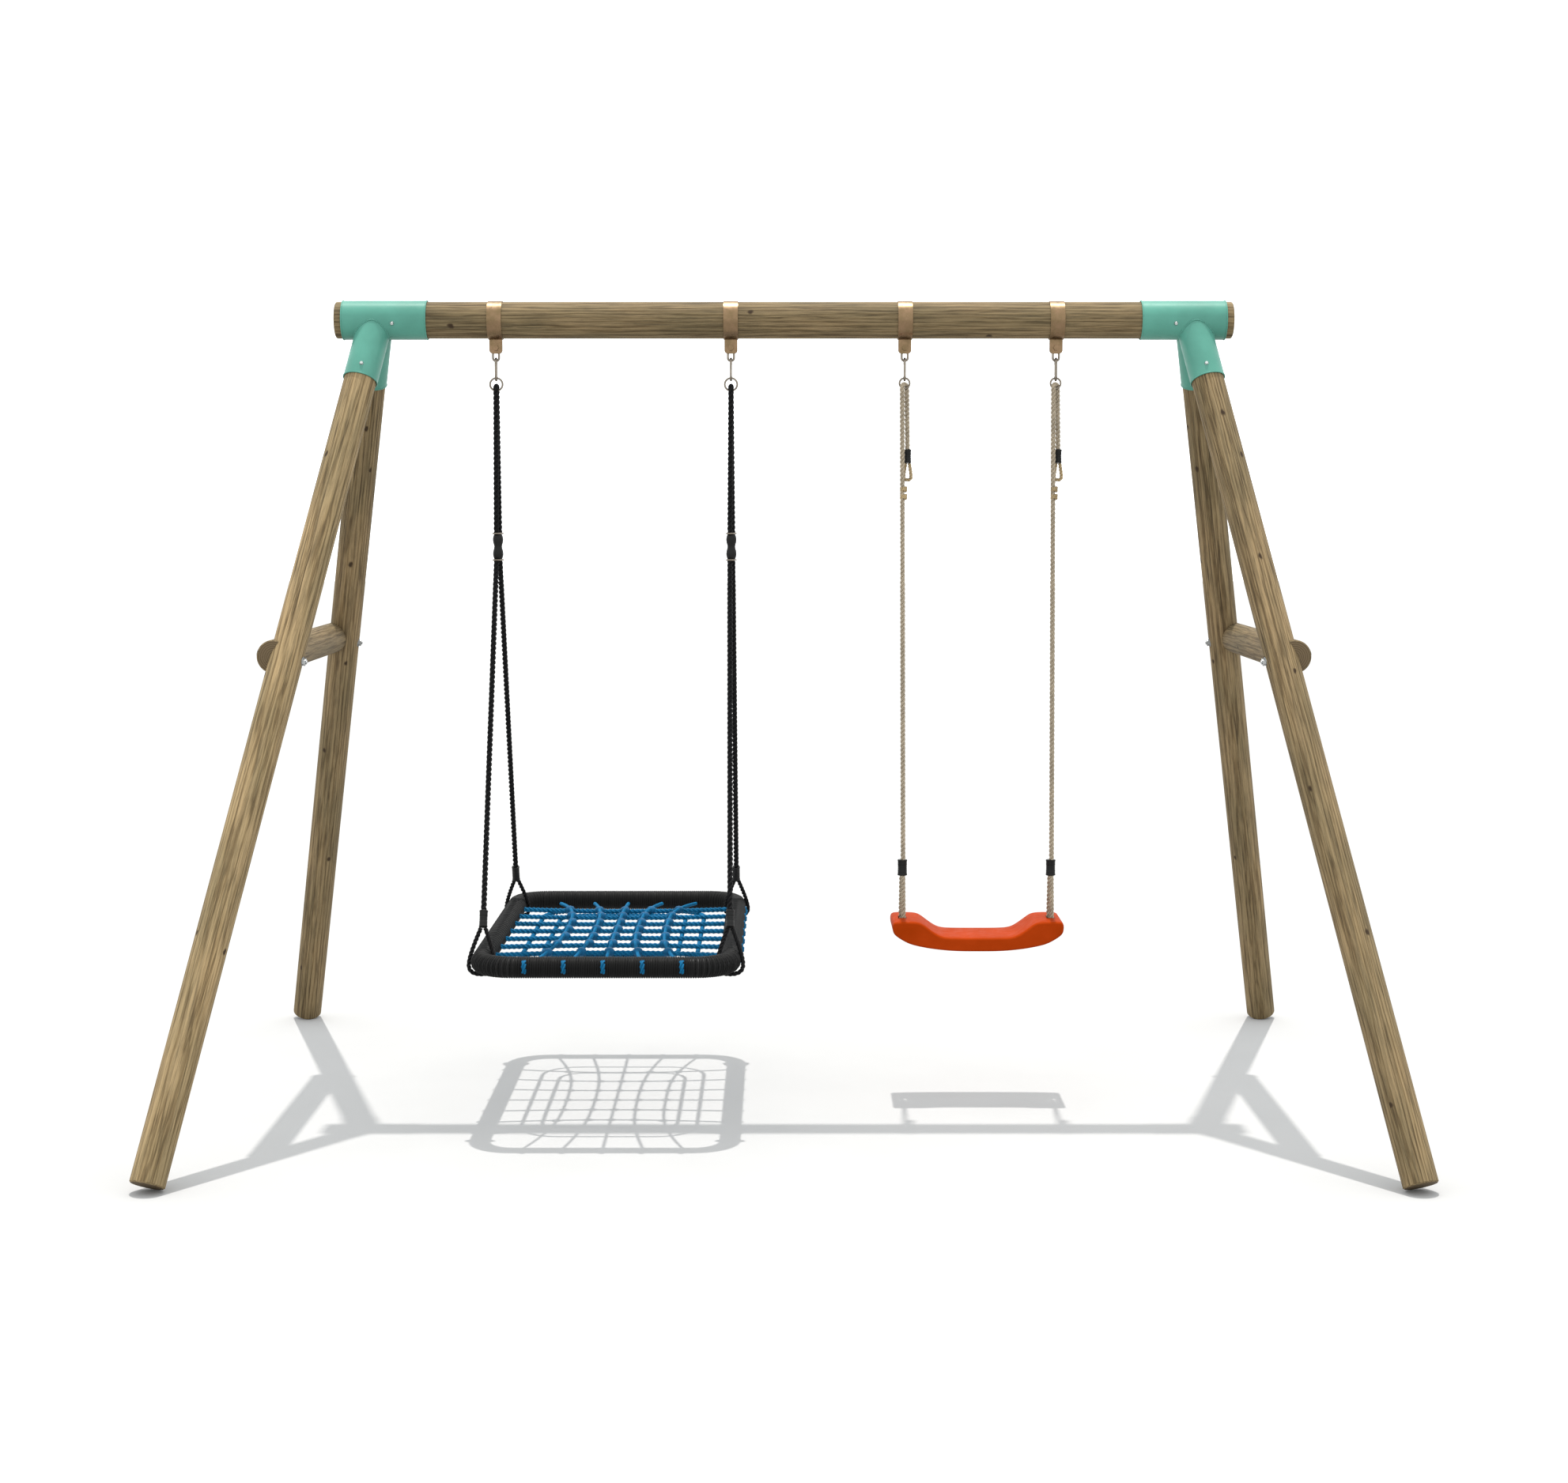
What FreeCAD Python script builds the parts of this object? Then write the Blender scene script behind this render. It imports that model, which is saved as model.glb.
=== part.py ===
import FreeCAD, Part
import math
import os

import Sketcher
from FreeCAD import Placement, Rotation, Vector

# Garden swing set: a round timber crossbeam on two A-frames, with a net swing and a moulded seat.
# Millimetres. X runs along the beam, Y from the front to the back, Z up.
# The origin lies on the ground in the middle of the footprint.

doc = FreeCAD.newDocument("swing_set")
sheet = doc.addObject("Spreadsheet::Sheet", "sizes")

DRIVING_SIZES = [
    # timber
    ("beam_length", 2360),
    ("beam_diameter", 96),
    ("beam_height", 2074),
    ("leg_diameter", 84),
    ("apex_inset", 105),
    ("foot_splay", 409),
    ("foot_spread", 1003),
    ("brace_diameter", 84),
    ("brace_height", 1214),
    ("brace_outset", 29.8),
    ("brace_overhang", 21),
    ("pole_chamfer", 3),
    ("timber_clearance", 0.2),
    # corner brackets and their screws
    ("sleeve_wall", 2.5),
    ("sleeve_clearance", 0.5),
    ("beam_sleeve_length", 220),
    ("beam_overhang", 20),
    ("leg_sleeve_reach", 180),
    ("rim_radius", 1.8),
    ("screw_diameter", 6),
    ("screw_length", 35),
    ("screw_head_diameter", 11),
    ("screw_head_height", 4),
    ("screw_drop_angle", 12.5),
    ("beam_screw_inset", 49),
    ("leg_screw_reach", 153),
    # coach bolts that hold the braces
    ("bolt_diameter", 10),
    ("bolt_hole_clearance", 0.5),
    ("bolt_head_diameter", 25),
    ("bolt_head_height", 6),
    ("nut_width", 17),
    ("nut_height", 8),
    ("washer_diameter", 25),
    ("washer_height", 2),
    ("spot_face_depth", 3),
    # band clamps on the beam
    ("band_width", 38),
    ("band_wall", 2.5),
    ("band_clearance", 0.3),
    ("ear_width", 34),
    ("ear_drop", 39),
    ("ear_corner", 9),
    ("clamp_bolt_diameter", 8),
    ("clamp_bolt_drop", 24),
    ("clamp_head_width", 13),
    ("clamp_head_height", 5),
    # hanger eyes, snap hooks, gates and rings
    ("link_clearance", 0.3),
    ("eye_wire", 6),
    ("eye_width", 22),
    ("eye_drop", 106),
    ("hook_wire", 6),
    ("hook_width", 28),
    ("hook_pitch", 57),
    ("gate_wire", 5),
    ("gate_length", 27),
    ("ring_wire", 5),
    ("rope_lift", 1.4),
    ("turn_run", 21),
    ("net_ring_diameter", 38),
    ("seat_ring_diameter", 32),
    # places of the two swings
    ("net_swing_x", -450),
    ("net_hang_half", 310),
    ("seat_swing_x", 518),
    ("seat_hang_half", 199.5),
    # net swing
    ("black_rope", 14),
    ("adjuster_level", 1479),
    ("adjuster_length", 66),
    ("adjuster_diameter", 28),
    ("adjuster_waist", 20),
    ("collar_wire", 4),
    ("strand_turn_x", 3.5),
    ("strand_turn_y", 6.2),
    ("net_level", 444),
    ("net_half_x", 314),
    ("net_half_y", 524),
    ("net_corner", 90),
    ("frame_tube_diameter", 32),
    ("frame_tube_wall", 2),
    ("winding_diameter", 56),
    ("rope_anchor_y", 430),
    ("sleeve_diameter", 22),
    ("rope_sleeve_length", 44),
    ("sleeve_reach", 108),
    ("loop_rope", 11),
    ("loop_shoulder", 14),
    ("net_cord", 10),
    ("cord_gap", 0.2),
    ("cross_pitch_rail", 119),
    ("cross_pitch_middle", 97),
    ("long_knee_y", 318),
    ("long_inner_rail", 98),
    ("long_inner_knee", 64),
    ("long_inner_middle", 54),
    ("long_outer_rail", 196),
    ("long_outer_knee", 140),
    ("long_outer_middle", 130),
    ("outer_ring_x", 226),
    ("outer_ring_y", 390),
    ("outer_ring_corner", 100),
    ("inner_ring_x", 175),
    ("inner_ring_y", 316),
    ("inner_ring_corner", 70),
    # seat swing
    ("beige_rope", 12.5),
    ("loop_skew", 6.5),
    ("top_ferrule_level", 1718),
    ("top_ferrule_length", 36),
    ("top_ferrule_diameter", 20),
    ("top_ferrule_x", 9),
    ("top_ferrule_y", 6.5),
    ("rope_eye_length", 49),
    ("rope_eye_width", 19),
    ("rope_eye_wire", 9),
    ("knot_level", 1612),
    ("knot_length", 40),
    ("knot_diameter", 24),
    ("low_ferrule_level", 618),
    ("low_ferrule_length", 43),
    ("low_ferrule_diameter", 26),
    ("low_strand_x", 1.5),
    ("low_strand_y", 6.35),
    ("seat_depth", 170),
    ("seat_bottom", 403),
    ("seat_middle", 440),
    ("seat_top", 483),
    ("lug_outer", 220),
    ("lug_inner", 158),
    ("slope_foot", 104),
    ("slope_foot_level", 445),
    ("flat_half", 86),
    ("end_half", 228.5),
    ("end_level", 466),
    ("end_low_half", 224),
    ("end_low_level", 450),
    ("curve_half", 180),
    ("curve_level", 421),
    ("keel_half", 90),
    ("keel_level", 405.5),
    ("seat_edge_round", 6),
    ("slot_width", 22),
    ("slot_depth", 40),
    ("lug_bar", 10),
    ("lug_bar_level", 462),
]

for row, (alias, value) in enumerate(DRIVING_SIZES, start=1):
    sheet.set(f"A{row}", alias)
    sheet.set(f"B{row}", str(value))
    sheet.setAlias(f"B{row}", alias)
doc.recompute()


def size(alias):
    """A driving size, as a number."""
    return float(getattr(sheet, alias))


nodes = {}


def keep(label, piece):
    """Marks a finished sub-part: its label is the name of its file."""
    piece.Label = label
    nodes[label] = piece
    return piece


def bind(piece, **formulas):
    """Ties properties to cells of the sheet."""
    for name, formula in formulas.items():
        piece.setExpression(name, formula)
    return piece


def along(start, direction):
    """A place whose local Z points along a direction."""
    return Placement(start, Rotation(Vector(0, 0, 1), direction))


def cylinder(name, radius, height, place):
    piece = doc.addObject("Part::Cylinder", name)
    bind(piece, Radius=radius, Height=height)
    piece.Placement = place
    return piece


def torus(name, major, minor, place, sweep=360):
    piece = doc.addObject("Part::Torus", name)
    bind(piece, Radius1=major, Radius2=minor)
    piece.Angle3 = sweep
    piece.Placement = place
    return piece


def box(name, length, width, height, centre):
    """A box centred on a point, its sides along X, Y and Z."""
    piece = doc.addObject("Part::Box", name)
    bind(piece, Length=length, Width=width, Height=height)
    doc.recompute()
    half = Vector(piece.Length.Value / 2, piece.Width.Value / 2, piece.Height.Value / 2)
    piece.Placement = Placement(centre - half, Rotation())
    return piece


def hexagon(name, width, height, place):
    """A hexagonal prism, given its width across the flats."""
    piece = doc.addObject("Part::Prism", name)
    piece.Polygon = 6
    bind(piece, Circumradius=f"({width}) / sqrt(3)", Height=height)
    piece.Placement = place
    return piece


def fuse(name, pieces):
    joined = doc.addObject("Part::MultiFuse", name)
    joined.Shapes = pieces
    return joined


def cut(name, base, tool):
    piece = doc.addObject("Part::Cut", name)
    piece.Base = base
    piece.Tool = tool
    return piece


def group(label, pieces):
    """Separate solids that share one node."""
    compound = doc.addObject("Part::Compound", label)
    compound.Links = pieces
    return keep(label, compound)


def origin_plane(body, role):
    return next(item for item in body.Origin.OriginFeatures if item.Role == role)


def new_sketch(body, role, name):
    sketch = body.newObject("Sketcher::SketchObject", name)
    sketch.AttachmentSupport = [(origin_plane(body, role), "")]
    sketch.MapMode = "FlatFace"
    return sketch


def check_feature(feature, grows):
    """A pad or pocket has to change the body's volume in the right direction."""
    doc.recompute()
    before = feature.BaseFeature.Shape.Volume if feature.BaseFeature else 0
    change = feature.Shape.Volume - before
    if (change > 0) != grows:
        raise RuntimeError(f"{feature.Name} changed the volume by {change:.1f}")


def pole(name, diameter, length, place):
    """A turned timber pole: a padded circle with chamfered ends."""
    body = doc.addObject("PartDesign::Body", name)
    sketch = new_sketch(body, "XY_Plane", name + "_section")
    sketch.addGeometry(Part.Circle(Vector(0, 0, 0), Vector(0, 0, 1), 40))
    sketch.addConstraint(Sketcher.Constraint("Coincident", 0, 3, -1, 1))
    sketch.addConstraint(Sketcher.Constraint("Diameter", 0, 80))
    sketch.renameConstraint(1, "across")
    sketch.setExpression("Constraints.across", diameter)
    pad = body.newObject("PartDesign::Pad", name + "_length")
    pad.Profile = sketch
    pad.Length = length
    check_feature(pad, grows=True)
    ends = [
        f"Edge{number}"
        for number, edge in enumerate(pad.Shape.Edges, start=1)
        if edge.Curve.TypeId == "Part::GeomCircle"
    ]
    chamfer = body.newObject("PartDesign::Chamfer", name + "_ends")
    chamfer.Base = (pad, ends)
    chamfer.setExpression("Size", "sizes.pole_chamfer")
    body.Tip = chamfer
    body.Placement = place
    return body


def seated(point, towards, diameter, normal):
    """Moves a rope's end back from a flat face until only its edge touches the face."""
    run = (towards - point).normalize()
    share = abs(run.dot(normal))
    lean = math.sqrt(max(1 - share**2, 0))
    return point + run * (diameter / 2 * lean / share + size("cord_gap") / 2)


def seat_ends(points, diameter, normal=Vector(0, 0, 1)):
    first = seated(points[0], points[1], diameter, normal)
    last = seated(points[-1], points[-2], diameter, normal)
    return [first] + points[1:-1] + [last]


def tube_path(points):
    """Straight runs joined by tangent arcs, and the radius of each arc."""
    corners = []
    for before, here, after in zip(points, points[1:], points[2:]):
        back = (before - here).normalize()
        ahead = (after - here).normalize()
        turn = math.pi - back.getAngle(ahead)
        shorter = min((before - here).Length, (after - here).Length)
        reach = 0.45 * shorter
        radius = reach / math.tan(turn / 2)
        middle = here + (back + ahead).normalize() * (radius / math.cos(turn / 2) - radius)
        corners.append((here + back * reach, middle, here + ahead * reach, radius))
    edges = []
    at = points[0]
    for first, middle, last, radius in corners:
        edges.append(Part.LineSegment(at, first).toShape())
        edges.append(Part.Arc(first, middle, last).toShape())
        at = last
    edges.append(Part.LineSegment(at, points[-1]).toShape())
    return Part.Wire(edges), [corner[3] for corner in corners]


def rope_tube(name, points, diameter):
    """A rope along its route. The tube's volume has to be its section times its length."""
    path, radii = tube_path(points)
    section = Part.Circle(points[0], points[1] - points[0], diameter / 2).toShape()
    shape = path.makePipeShell([Part.Wire([section])], True, False)
    expected = math.pi * diameter**2 / 4 * path.Length
    print(f"{name}: {path.Length:.0f} mm long, arcs of radius {[round(r, 1) for r in radii]}")
    if abs(shape.Volume - expected) > 0.01 * expected:
        raise RuntimeError(f"{name} has volume {shape.Volume:.0f}, not {expected:.0f}")
    piece = doc.addObject("Part::Feature", name)
    piece.Shape = shape
    piece.Placement = Placement()
    return piece


def rounded_ring(name, half_x, half_y, corner, radius, centre):
    """A round bar bent into a rounded rectangle: four straights and four quarter turns."""
    # A straight's seam is turned away from the seams of the two turns beside it.
    seam_turn = Placement(Vector(), Rotation(Vector(0, 0, 1), 90))
    straights = []
    turns = []
    for sign in (-1, 1):
        side = Vector(sign * (half_x.value), -(half_y.value - corner.value), 0)
        straights.append(
            cylinder(
                f"{name}_side_{sign + 1}",
                radius,
                f"2 * ({half_y.formula} - {corner.formula})",
                along(centre + side, Vector(0, 1, 0)) * seam_turn,
            )
        )
        rail = Vector(-(half_x.value - corner.value), sign * half_y.value, 0)
        straights.append(
            cylinder(
                f"{name}_rail_{sign + 1}",
                radius,
                f"2 * ({half_x.formula} - {corner.formula})",
                along(centre + rail, Vector(1, 0, 0)) * seam_turn,
            )
        )
    for quarter in range(4):
        sign_x = 1 if quarter in (0, 3) else -1
        sign_y = 1 if quarter in (0, 1) else -1
        middle = Vector(
            sign_x * (half_x.value - corner.value),
            sign_y * (half_y.value - corner.value),
            0,
        )
        turned = Rotation(Vector(0, 0, 1), 90 * quarter)
        turns.append(
            torus(
                f"{name}_turn_{quarter}",
                corner.formula,
                radius,
                Placement(centre + middle, turned),
                sweep=90,
            )
        )
    return fuse(name, straights + turns)


class Cell:
    """A driving size, both as a number and as the formula that ties a property to it."""

    def __init__(self, alias):
        self.value = size(alias)
        self.formula = f"sizes.{alias}"


# Leg geometry: each leg runs from the beam's axis down and outwards to the ground.
LEG_NAMES = {
    (-1, -1): "leg_front_left",
    (1, -1): "leg_front_right",
    (-1, 1): "leg_back_left",
    (1, 1): "leg_back_right",
}
SIDE_NAMES = {-1: "left", 1: "right"}


def apex(side):
    reach = size("beam_length") / 2 - size("apex_inset")
    return Vector(side * reach, 0, size("beam_height"))


def leg_direction(side, end):
    foot = apex(side) + Vector(side * size("foot_splay"), end * size("foot_spread"), -size("beam_height"))
    return (foot - apex(side)).normalize()


def leg_top():
    """How far below the apex a leg starts: clear of its twin and of the beam sleeve."""
    direction = leg_direction(1, 1)
    radius = size("leg_diameter") / 2
    sleeve = size("beam_diameter") / 2 + size("sleeve_clearance") + size("sleeve_wall")
    twin = radius * math.sqrt(1 - direction.y**2) / abs(direction.y)
    beam = (sleeve + radius * abs(direction.x)) / math.sqrt(1 - direction.x**2)
    return max(twin, beam) + size("pole_chamfer")


def leg_bottom():
    """How far below the apex a leg ends: its square-cut end stands on its inner edge."""
    direction = leg_direction(1, 1)
    radius = size("leg_diameter") / 2
    chamfer = size("pole_chamfer")
    lean = math.sqrt(1 - direction.z**2)
    chamfer_edge = radius * lean - chamfer * abs(direction.z)
    end_edge = (radius - chamfer) * lean
    return (size("beam_height") - max(chamfer_edge, end_edge)) / abs(direction.z)


def outward(side):
    """The direction from a leg's axis to the brace's axis, square to both."""
    direction = leg_direction(side, 1)
    return Vector(side * abs(direction.z), 0, abs(direction.x)).normalize()


def brace_crossing(side, end):
    """The point of a leg's axis that is nearest to the brace's axis."""
    direction = leg_direction(side, end)
    level = size("brace_height") - outward(side).z * size("brace_outset")
    return apex(side) + direction * ((size("beam_height") - level) / abs(direction.z))


def make_crossbeam():
    start = Vector(-size("beam_length") / 2, 0, size("beam_height"))
    beam = pole(
        "beam_pole",
        "sizes.beam_diameter",
        size("beam_length"),
        along(start, Vector(1, 0, 0)),
    )
    keep("crossbeam", beam)


def bolt_tools(name, side, end):
    """What a coach bolt takes out of the timber: its hole and the two flats it seats on."""
    normal = outward(side)
    crossing = brace_crossing(side, end)
    reach = 2 * (size("leg_diameter") + size("brace_diameter"))
    hole = cylinder(
        name + "_hole",
        "sizes.bolt_diameter / 2 + sizes.bolt_hole_clearance",
        "4 * (sizes.leg_diameter + sizes.brace_diameter)",
        along(crossing - normal * reach, normal),
    )
    head_seat = cylinder(
        name + "_head_seat",
        "sizes.bolt_head_diameter / 2 + 1",
        "sizes.brace_diameter",
        along(crossing + normal * head_level(), normal),
    )
    nut_seat = cylinder(
        name + "_nut_seat",
        "sizes.washer_diameter / 2 + 1",
        "sizes.leg_diameter",
        along(crossing - normal * nut_level(), normal * -1),
    )
    return fuse(name, [hole, head_seat, nut_seat])


def head_level():
    """Where a bolt's head seats, measured from the leg's axis along the bolt."""
    outside = size("brace_outset") + size("brace_diameter") / 2
    return outside - size("spot_face_depth")


def nut_level():
    return size("leg_diameter") / 2 - size("spot_face_depth")


def make_legs(tools):
    for (side, end), name in LEG_NAMES.items():
        direction = leg_direction(side, end)
        blank = pole(
            name + "_pole",
            "sizes.leg_diameter",
            leg_bottom() - leg_top(),
            along(apex(side) + direction * leg_top(), direction),
        )
        keep(name, cut(name + "_drilled", blank, tools[side, end]))


def make_brace(side, tools):
    """A cross brace that is notched over both legs, on their outer side."""
    name = "brace_" + SIDE_NAMES[side]
    crossing = brace_crossing(side, 1)
    half = crossing.y + size("brace_overhang")
    centre = crossing + outward(side) * size("brace_outset")
    start = Vector(centre.x, -half, centre.z)
    blank = pole(
        name + "_pole", "sizes.brace_diameter", 2 * half, along(start, Vector(0, 1, 0))
    )
    notches = [
        cylinder(
            f"{name}_notch_{end + 1}",
            "sizes.leg_diameter / 2 + sizes.timber_clearance",
            f"{leg_bottom()}",
            along(apex(side), leg_direction(side, end)),
        )
        for end in (-1, 1)
    ]
    removed = fuse(name + "_removed", notches + [tools[side, -1], tools[side, 1]])
    keep(name, cut(name + "_notched", blank, removed))


def make_brace_bolts():
    bolts = []
    nuts = []
    for (side, end), name in LEG_NAMES.items():
        normal = outward(side)
        crossing = brace_crossing(side, end)
        seat = crossing + normal * head_level()
        shank_length = head_level() + nut_level()
        past_nut = size("washer_height") + size("nut_height") + 3
        shank = cylinder(
            name + "_shank",
            "sizes.bolt_diameter / 2",
            f"{shank_length + past_nut}",
            along(seat, normal * -1),
        )
        dome = doc.addObject("Part::Cone", name + "_dome")
        bind(
            dome,
            Radius1="sizes.bolt_head_diameter / 2",
            Radius2="sizes.bolt_head_diameter / 4",
            Height="sizes.bolt_head_height",
        )
        dome.Placement = along(seat, normal)
        bolts.append(fuse(name + "_bolt", [shank, dome]))
        washer_seat = crossing - normal * nut_level()
        washer = cylinder(
            name + "_washer_blank",
            "sizes.washer_diameter / 2",
            "sizes.washer_height",
            along(washer_seat, normal * -1),
        )
        nut = hexagon(
            name + "_nut_blank",
            "sizes.nut_width",
            "sizes.nut_height",
            along(washer_seat - normal * size("washer_height"), normal * -1),
        )
        bore = cylinder(
            name + "_nut_bore",
            "sizes.bolt_diameter / 2 + 0.05",
            "4 * sizes.nut_height",
            along(washer_seat + normal * size("nut_height"), normal * -1),
        )
        nuts.append(cut(name + "_nut", fuse(name + "_nut_solid", [washer, nut]), bore))
    group("brace_bolts", bolts)
    group("brace_nuts", nuts)


def screw_places(side):
    """Start and inward direction of each screw of one corner bracket, on the sleeve's surface."""
    places = []
    outer = size("sleeve_clearance") + size("sleeve_wall")
    drop = math.radians(size("screw_drop_angle"))
    along_beam = apex(side).x - side * size("beam_screw_inset")
    for end in (-1, 1):
        out = Vector(0, end * math.cos(drop), -math.sin(drop))
        middle = Vector(along_beam, 0, size("beam_height"))
        places.append((middle + out * (size("beam_diameter") / 2 + outer), out * -1))
        direction = leg_direction(side, end)
        facing = Vector(0, end, 0)
        out = (facing - direction * facing.dot(direction)).normalize()
        middle = apex(side) + direction * size("leg_screw_reach")
        places.append((middle + out * (size("leg_diameter") / 2 + outer), out * -1))
    return places


def make_corner_bracket(side):
    """Welded tube sleeves: one round the beam's end, two for the legs, each with a rolled rim."""
    name = "corner_bracket_" + SIDE_NAMES[side]
    beam_bore = "sizes.beam_diameter / 2 + sizes.sleeve_clearance"
    beam_outer = beam_bore + " + sizes.sleeve_wall"
    leg_bore = "sizes.leg_diameter / 2 + sizes.sleeve_clearance"
    leg_outer = leg_bore + " + sizes.sleeve_wall"
    outer_end = size("beam_length") / 2 - size("beam_overhang")
    inner_end = outer_end - size("beam_sleeve_length")
    low_end = min(side * outer_end, side * inner_end)
    start = Vector(low_end, 0, size("beam_height"))
    beam_place = along(start, Vector(1, 0, 0))
    length = "sizes.beam_sleeve_length"
    sleeve = cylinder(name + "_sleeve", beam_outer, length, beam_place)
    bore = cylinder(name + "_bore", beam_bore, length, beam_place)
    beam_tube = cut(name + "_beam_tube", sleeve, bore)
    solids = []
    bores = []
    rims = []
    for end in (-1, 1):
        direction = leg_direction(side, end)
        place = along(apex(side), direction)
        reach = "sizes.leg_sleeve_reach"
        solids.append(cylinder(f"{name}_leg_{end + 1}", leg_outer, reach, place))
        bores.append(cylinder(f"{name}_leg_bore_{end + 1}", leg_bore, reach + " + 10", place))
        rims.append(
            torus(
                f"{name}_leg_rim_{end + 1}",
                leg_outer + " - 0.5",
                "sizes.rim_radius",
                along(apex(side) + direction * size("leg_sleeve_reach"), direction),
            )
        )
    for number, offset in enumerate((0, size("beam_sleeve_length"))):
        rims.append(
            torus(
                f"{name}_rim_{number}",
                beam_outer + " - 0.5",
                "sizes.rim_radius",
                along(start + Vector(offset, 0, 0), Vector(1, 0, 0)),
            )
        )
    leg_solids = fuse(name + "_leg_solids", solids)
    removed = fuse(name + "_leg_removed", bores + [sleeve])
    leg_tubes = cut(name + "_leg_tubes", leg_solids, removed)
    welded = fuse(name + "_welded", [beam_tube, leg_tubes] + rims)
    holes = [
        cylinder(
            f"{name}_screw_hole_{number}",
            "sizes.screw_diameter / 2 + 0.2",
            "sizes.screw_length",
            along(place - inward * size("screw_length") / 2, inward),
        )
        for number, (place, inward) in enumerate(screw_places(side))
    ]
    keep(name, cut(name + "_drilled", welded, fuse(name + "_screw_holes", holes)))


def make_bracket_screws():
    screws = []
    for side in (-1, 1):
        for number, (place, inward) in enumerate(screw_places(side)):
            name = f"screw_{SIDE_NAMES[side]}_{number}"
            head = doc.addObject("Part::Cone", name + "_head")
            bind(
                head,
                Radius1="sizes.screw_head_diameter / 2",
                Radius2="sizes.screw_head_diameter / 3",
                Height="sizes.screw_head_height",
            )
            head.Placement = along(place, inward * -1)
            shank = cylinder(
                name + "_shank", "sizes.screw_diameter / 2", "sizes.screw_length",
                along(place, inward),
            )
            screws.append(fuse(name, [head, shank]))
    group("bracket_screws", screws)


# Four hanging points: a band clamp, its bolt and eye, a snap hook with a gate, and a ring.
HANGERS = {
    "net_left": size("net_swing_x") - size("net_hang_half"),
    "net_right": size("net_swing_x") + size("net_hang_half"),
    "seat_left": size("seat_swing_x") - size("seat_hang_half"),
    "seat_right": size("seat_swing_x") + size("seat_hang_half"),
}


def ear_profile(body, name):
    """The ear's outline: straight sides and two rounded lower corners."""
    sketch = new_sketch(body, "XZ_Plane", name + "_outline")
    half = size("ear_width") / 2
    corner = size("ear_corner")
    top = -size("beam_diameter") / 2
    bottom = top - size("ear_drop")
    points = [Vector(-half, top, 0), Vector(-half, bottom, 0), Vector(half, bottom, 0),
              Vector(half, top, 0)]
    for start, finish in zip(points, points[1:] + points[:1]):
        sketch.addGeometry(Part.LineSegment(start, finish))
    for line in range(4):
        sketch.addConstraint(Sketcher.Constraint("Coincident", line, 2, (line + 1) % 4, 1))
    for line, kind in ((0, "Vertical"), (2, "Vertical"), (3, "Horizontal")):
        sketch.addConstraint(Sketcher.Constraint(kind, line))
    sketch.addConstraint(Sketcher.Constraint("Symmetric", 1, 1, 1, 2, -2))
    named = [
        ("wide", Sketcher.Constraint("DistanceX", 1, 1, 1, 2, 2 * half), "sizes.ear_width"),
        ("tall", Sketcher.Constraint("DistanceY", 0, 2, 0, 1, top - bottom), "sizes.ear_drop"),
        ("level", Sketcher.Constraint("DistanceY", 0, 1, -1, 1, -top), "sizes.beam_diameter / 2"),
    ]
    for title, constraint, formula in named:
        index = sketch.addConstraint(constraint)
        sketch.renameConstraint(index, title)
        sketch.setExpression(f"Constraints.{title}", formula)
    return sketch, corner


def make_band_clamp(hanger, x):
    """A steel band bent round the beam, its two ears pinched together below."""
    name = "beam_clamp_" + hanger
    centre = Vector(x, 0, size("beam_height"))
    body = doc.addObject("PartDesign::Body", name + "_ears")
    sketch, corner = ear_profile(body, name)
    pad = body.newObject("PartDesign::Pad", name + "_ear_pad")
    pad.Profile = sketch
    pad.Midplane = True
    pad.setExpression("Length", "sizes.eye_wire + 2 * sizes.band_wall")
    check_feature(pad, grows=True)
    lowest = pad.Shape.BoundBox.ZMin
    corners = [
        f"Edge{number}"
        for number, edge in enumerate(pad.Shape.Edges, start=1)
        if edge.BoundBox.ZMax - lowest < 1e-6 and edge.BoundBox.YLength > corner / 4
        and edge.BoundBox.XLength < 1e-6
    ]
    rounding = body.newObject("PartDesign::Fillet", name + "_ear_corners")
    rounding.Base = (pad, corners)
    rounding.setExpression("Radius", "sizes.ear_corner")
    body.Tip = rounding
    body.Placement = Placement(centre, Rotation())
    place = along(centre - Vector(size("band_width") / 2, 0, 0), Vector(1, 0, 0))
    bore = "sizes.beam_diameter / 2 + sizes.band_clearance"
    band = cylinder(name + "_band", bore + " + sizes.band_wall", "sizes.band_width", place)
    inside = cylinder(name + "_inside", bore, "sizes.band_width", place)
    gap = box(
        name + "_gap",
        "2 * sizes.band_width",
        "sizes.eye_wire",
        "2 * sizes.ear_drop",
        centre - Vector(0, 0, size("beam_diameter") / 2 + size("ear_drop")),
    )
    hole = cylinder(
        name + "_hole",
        "sizes.clamp_bolt_diameter / 2 + 0.2",
        "8 * sizes.eye_wire",
        along(clamp_bolt_centre(x) - Vector(0, 4 * size("eye_wire"), 0), Vector(0, 1, 0)),
    )
    solid = fuse(name + "_solid", [band, body])
    removed = fuse(name + "_removed", [inside, gap, hole])
    keep(name, cut(name + "_cut", solid, removed))


def clamp_bolt_centre(x):
    level = size("beam_height") - size("beam_diameter") / 2 - size("clamp_bolt_drop")
    return Vector(x, 0, level)


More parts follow.
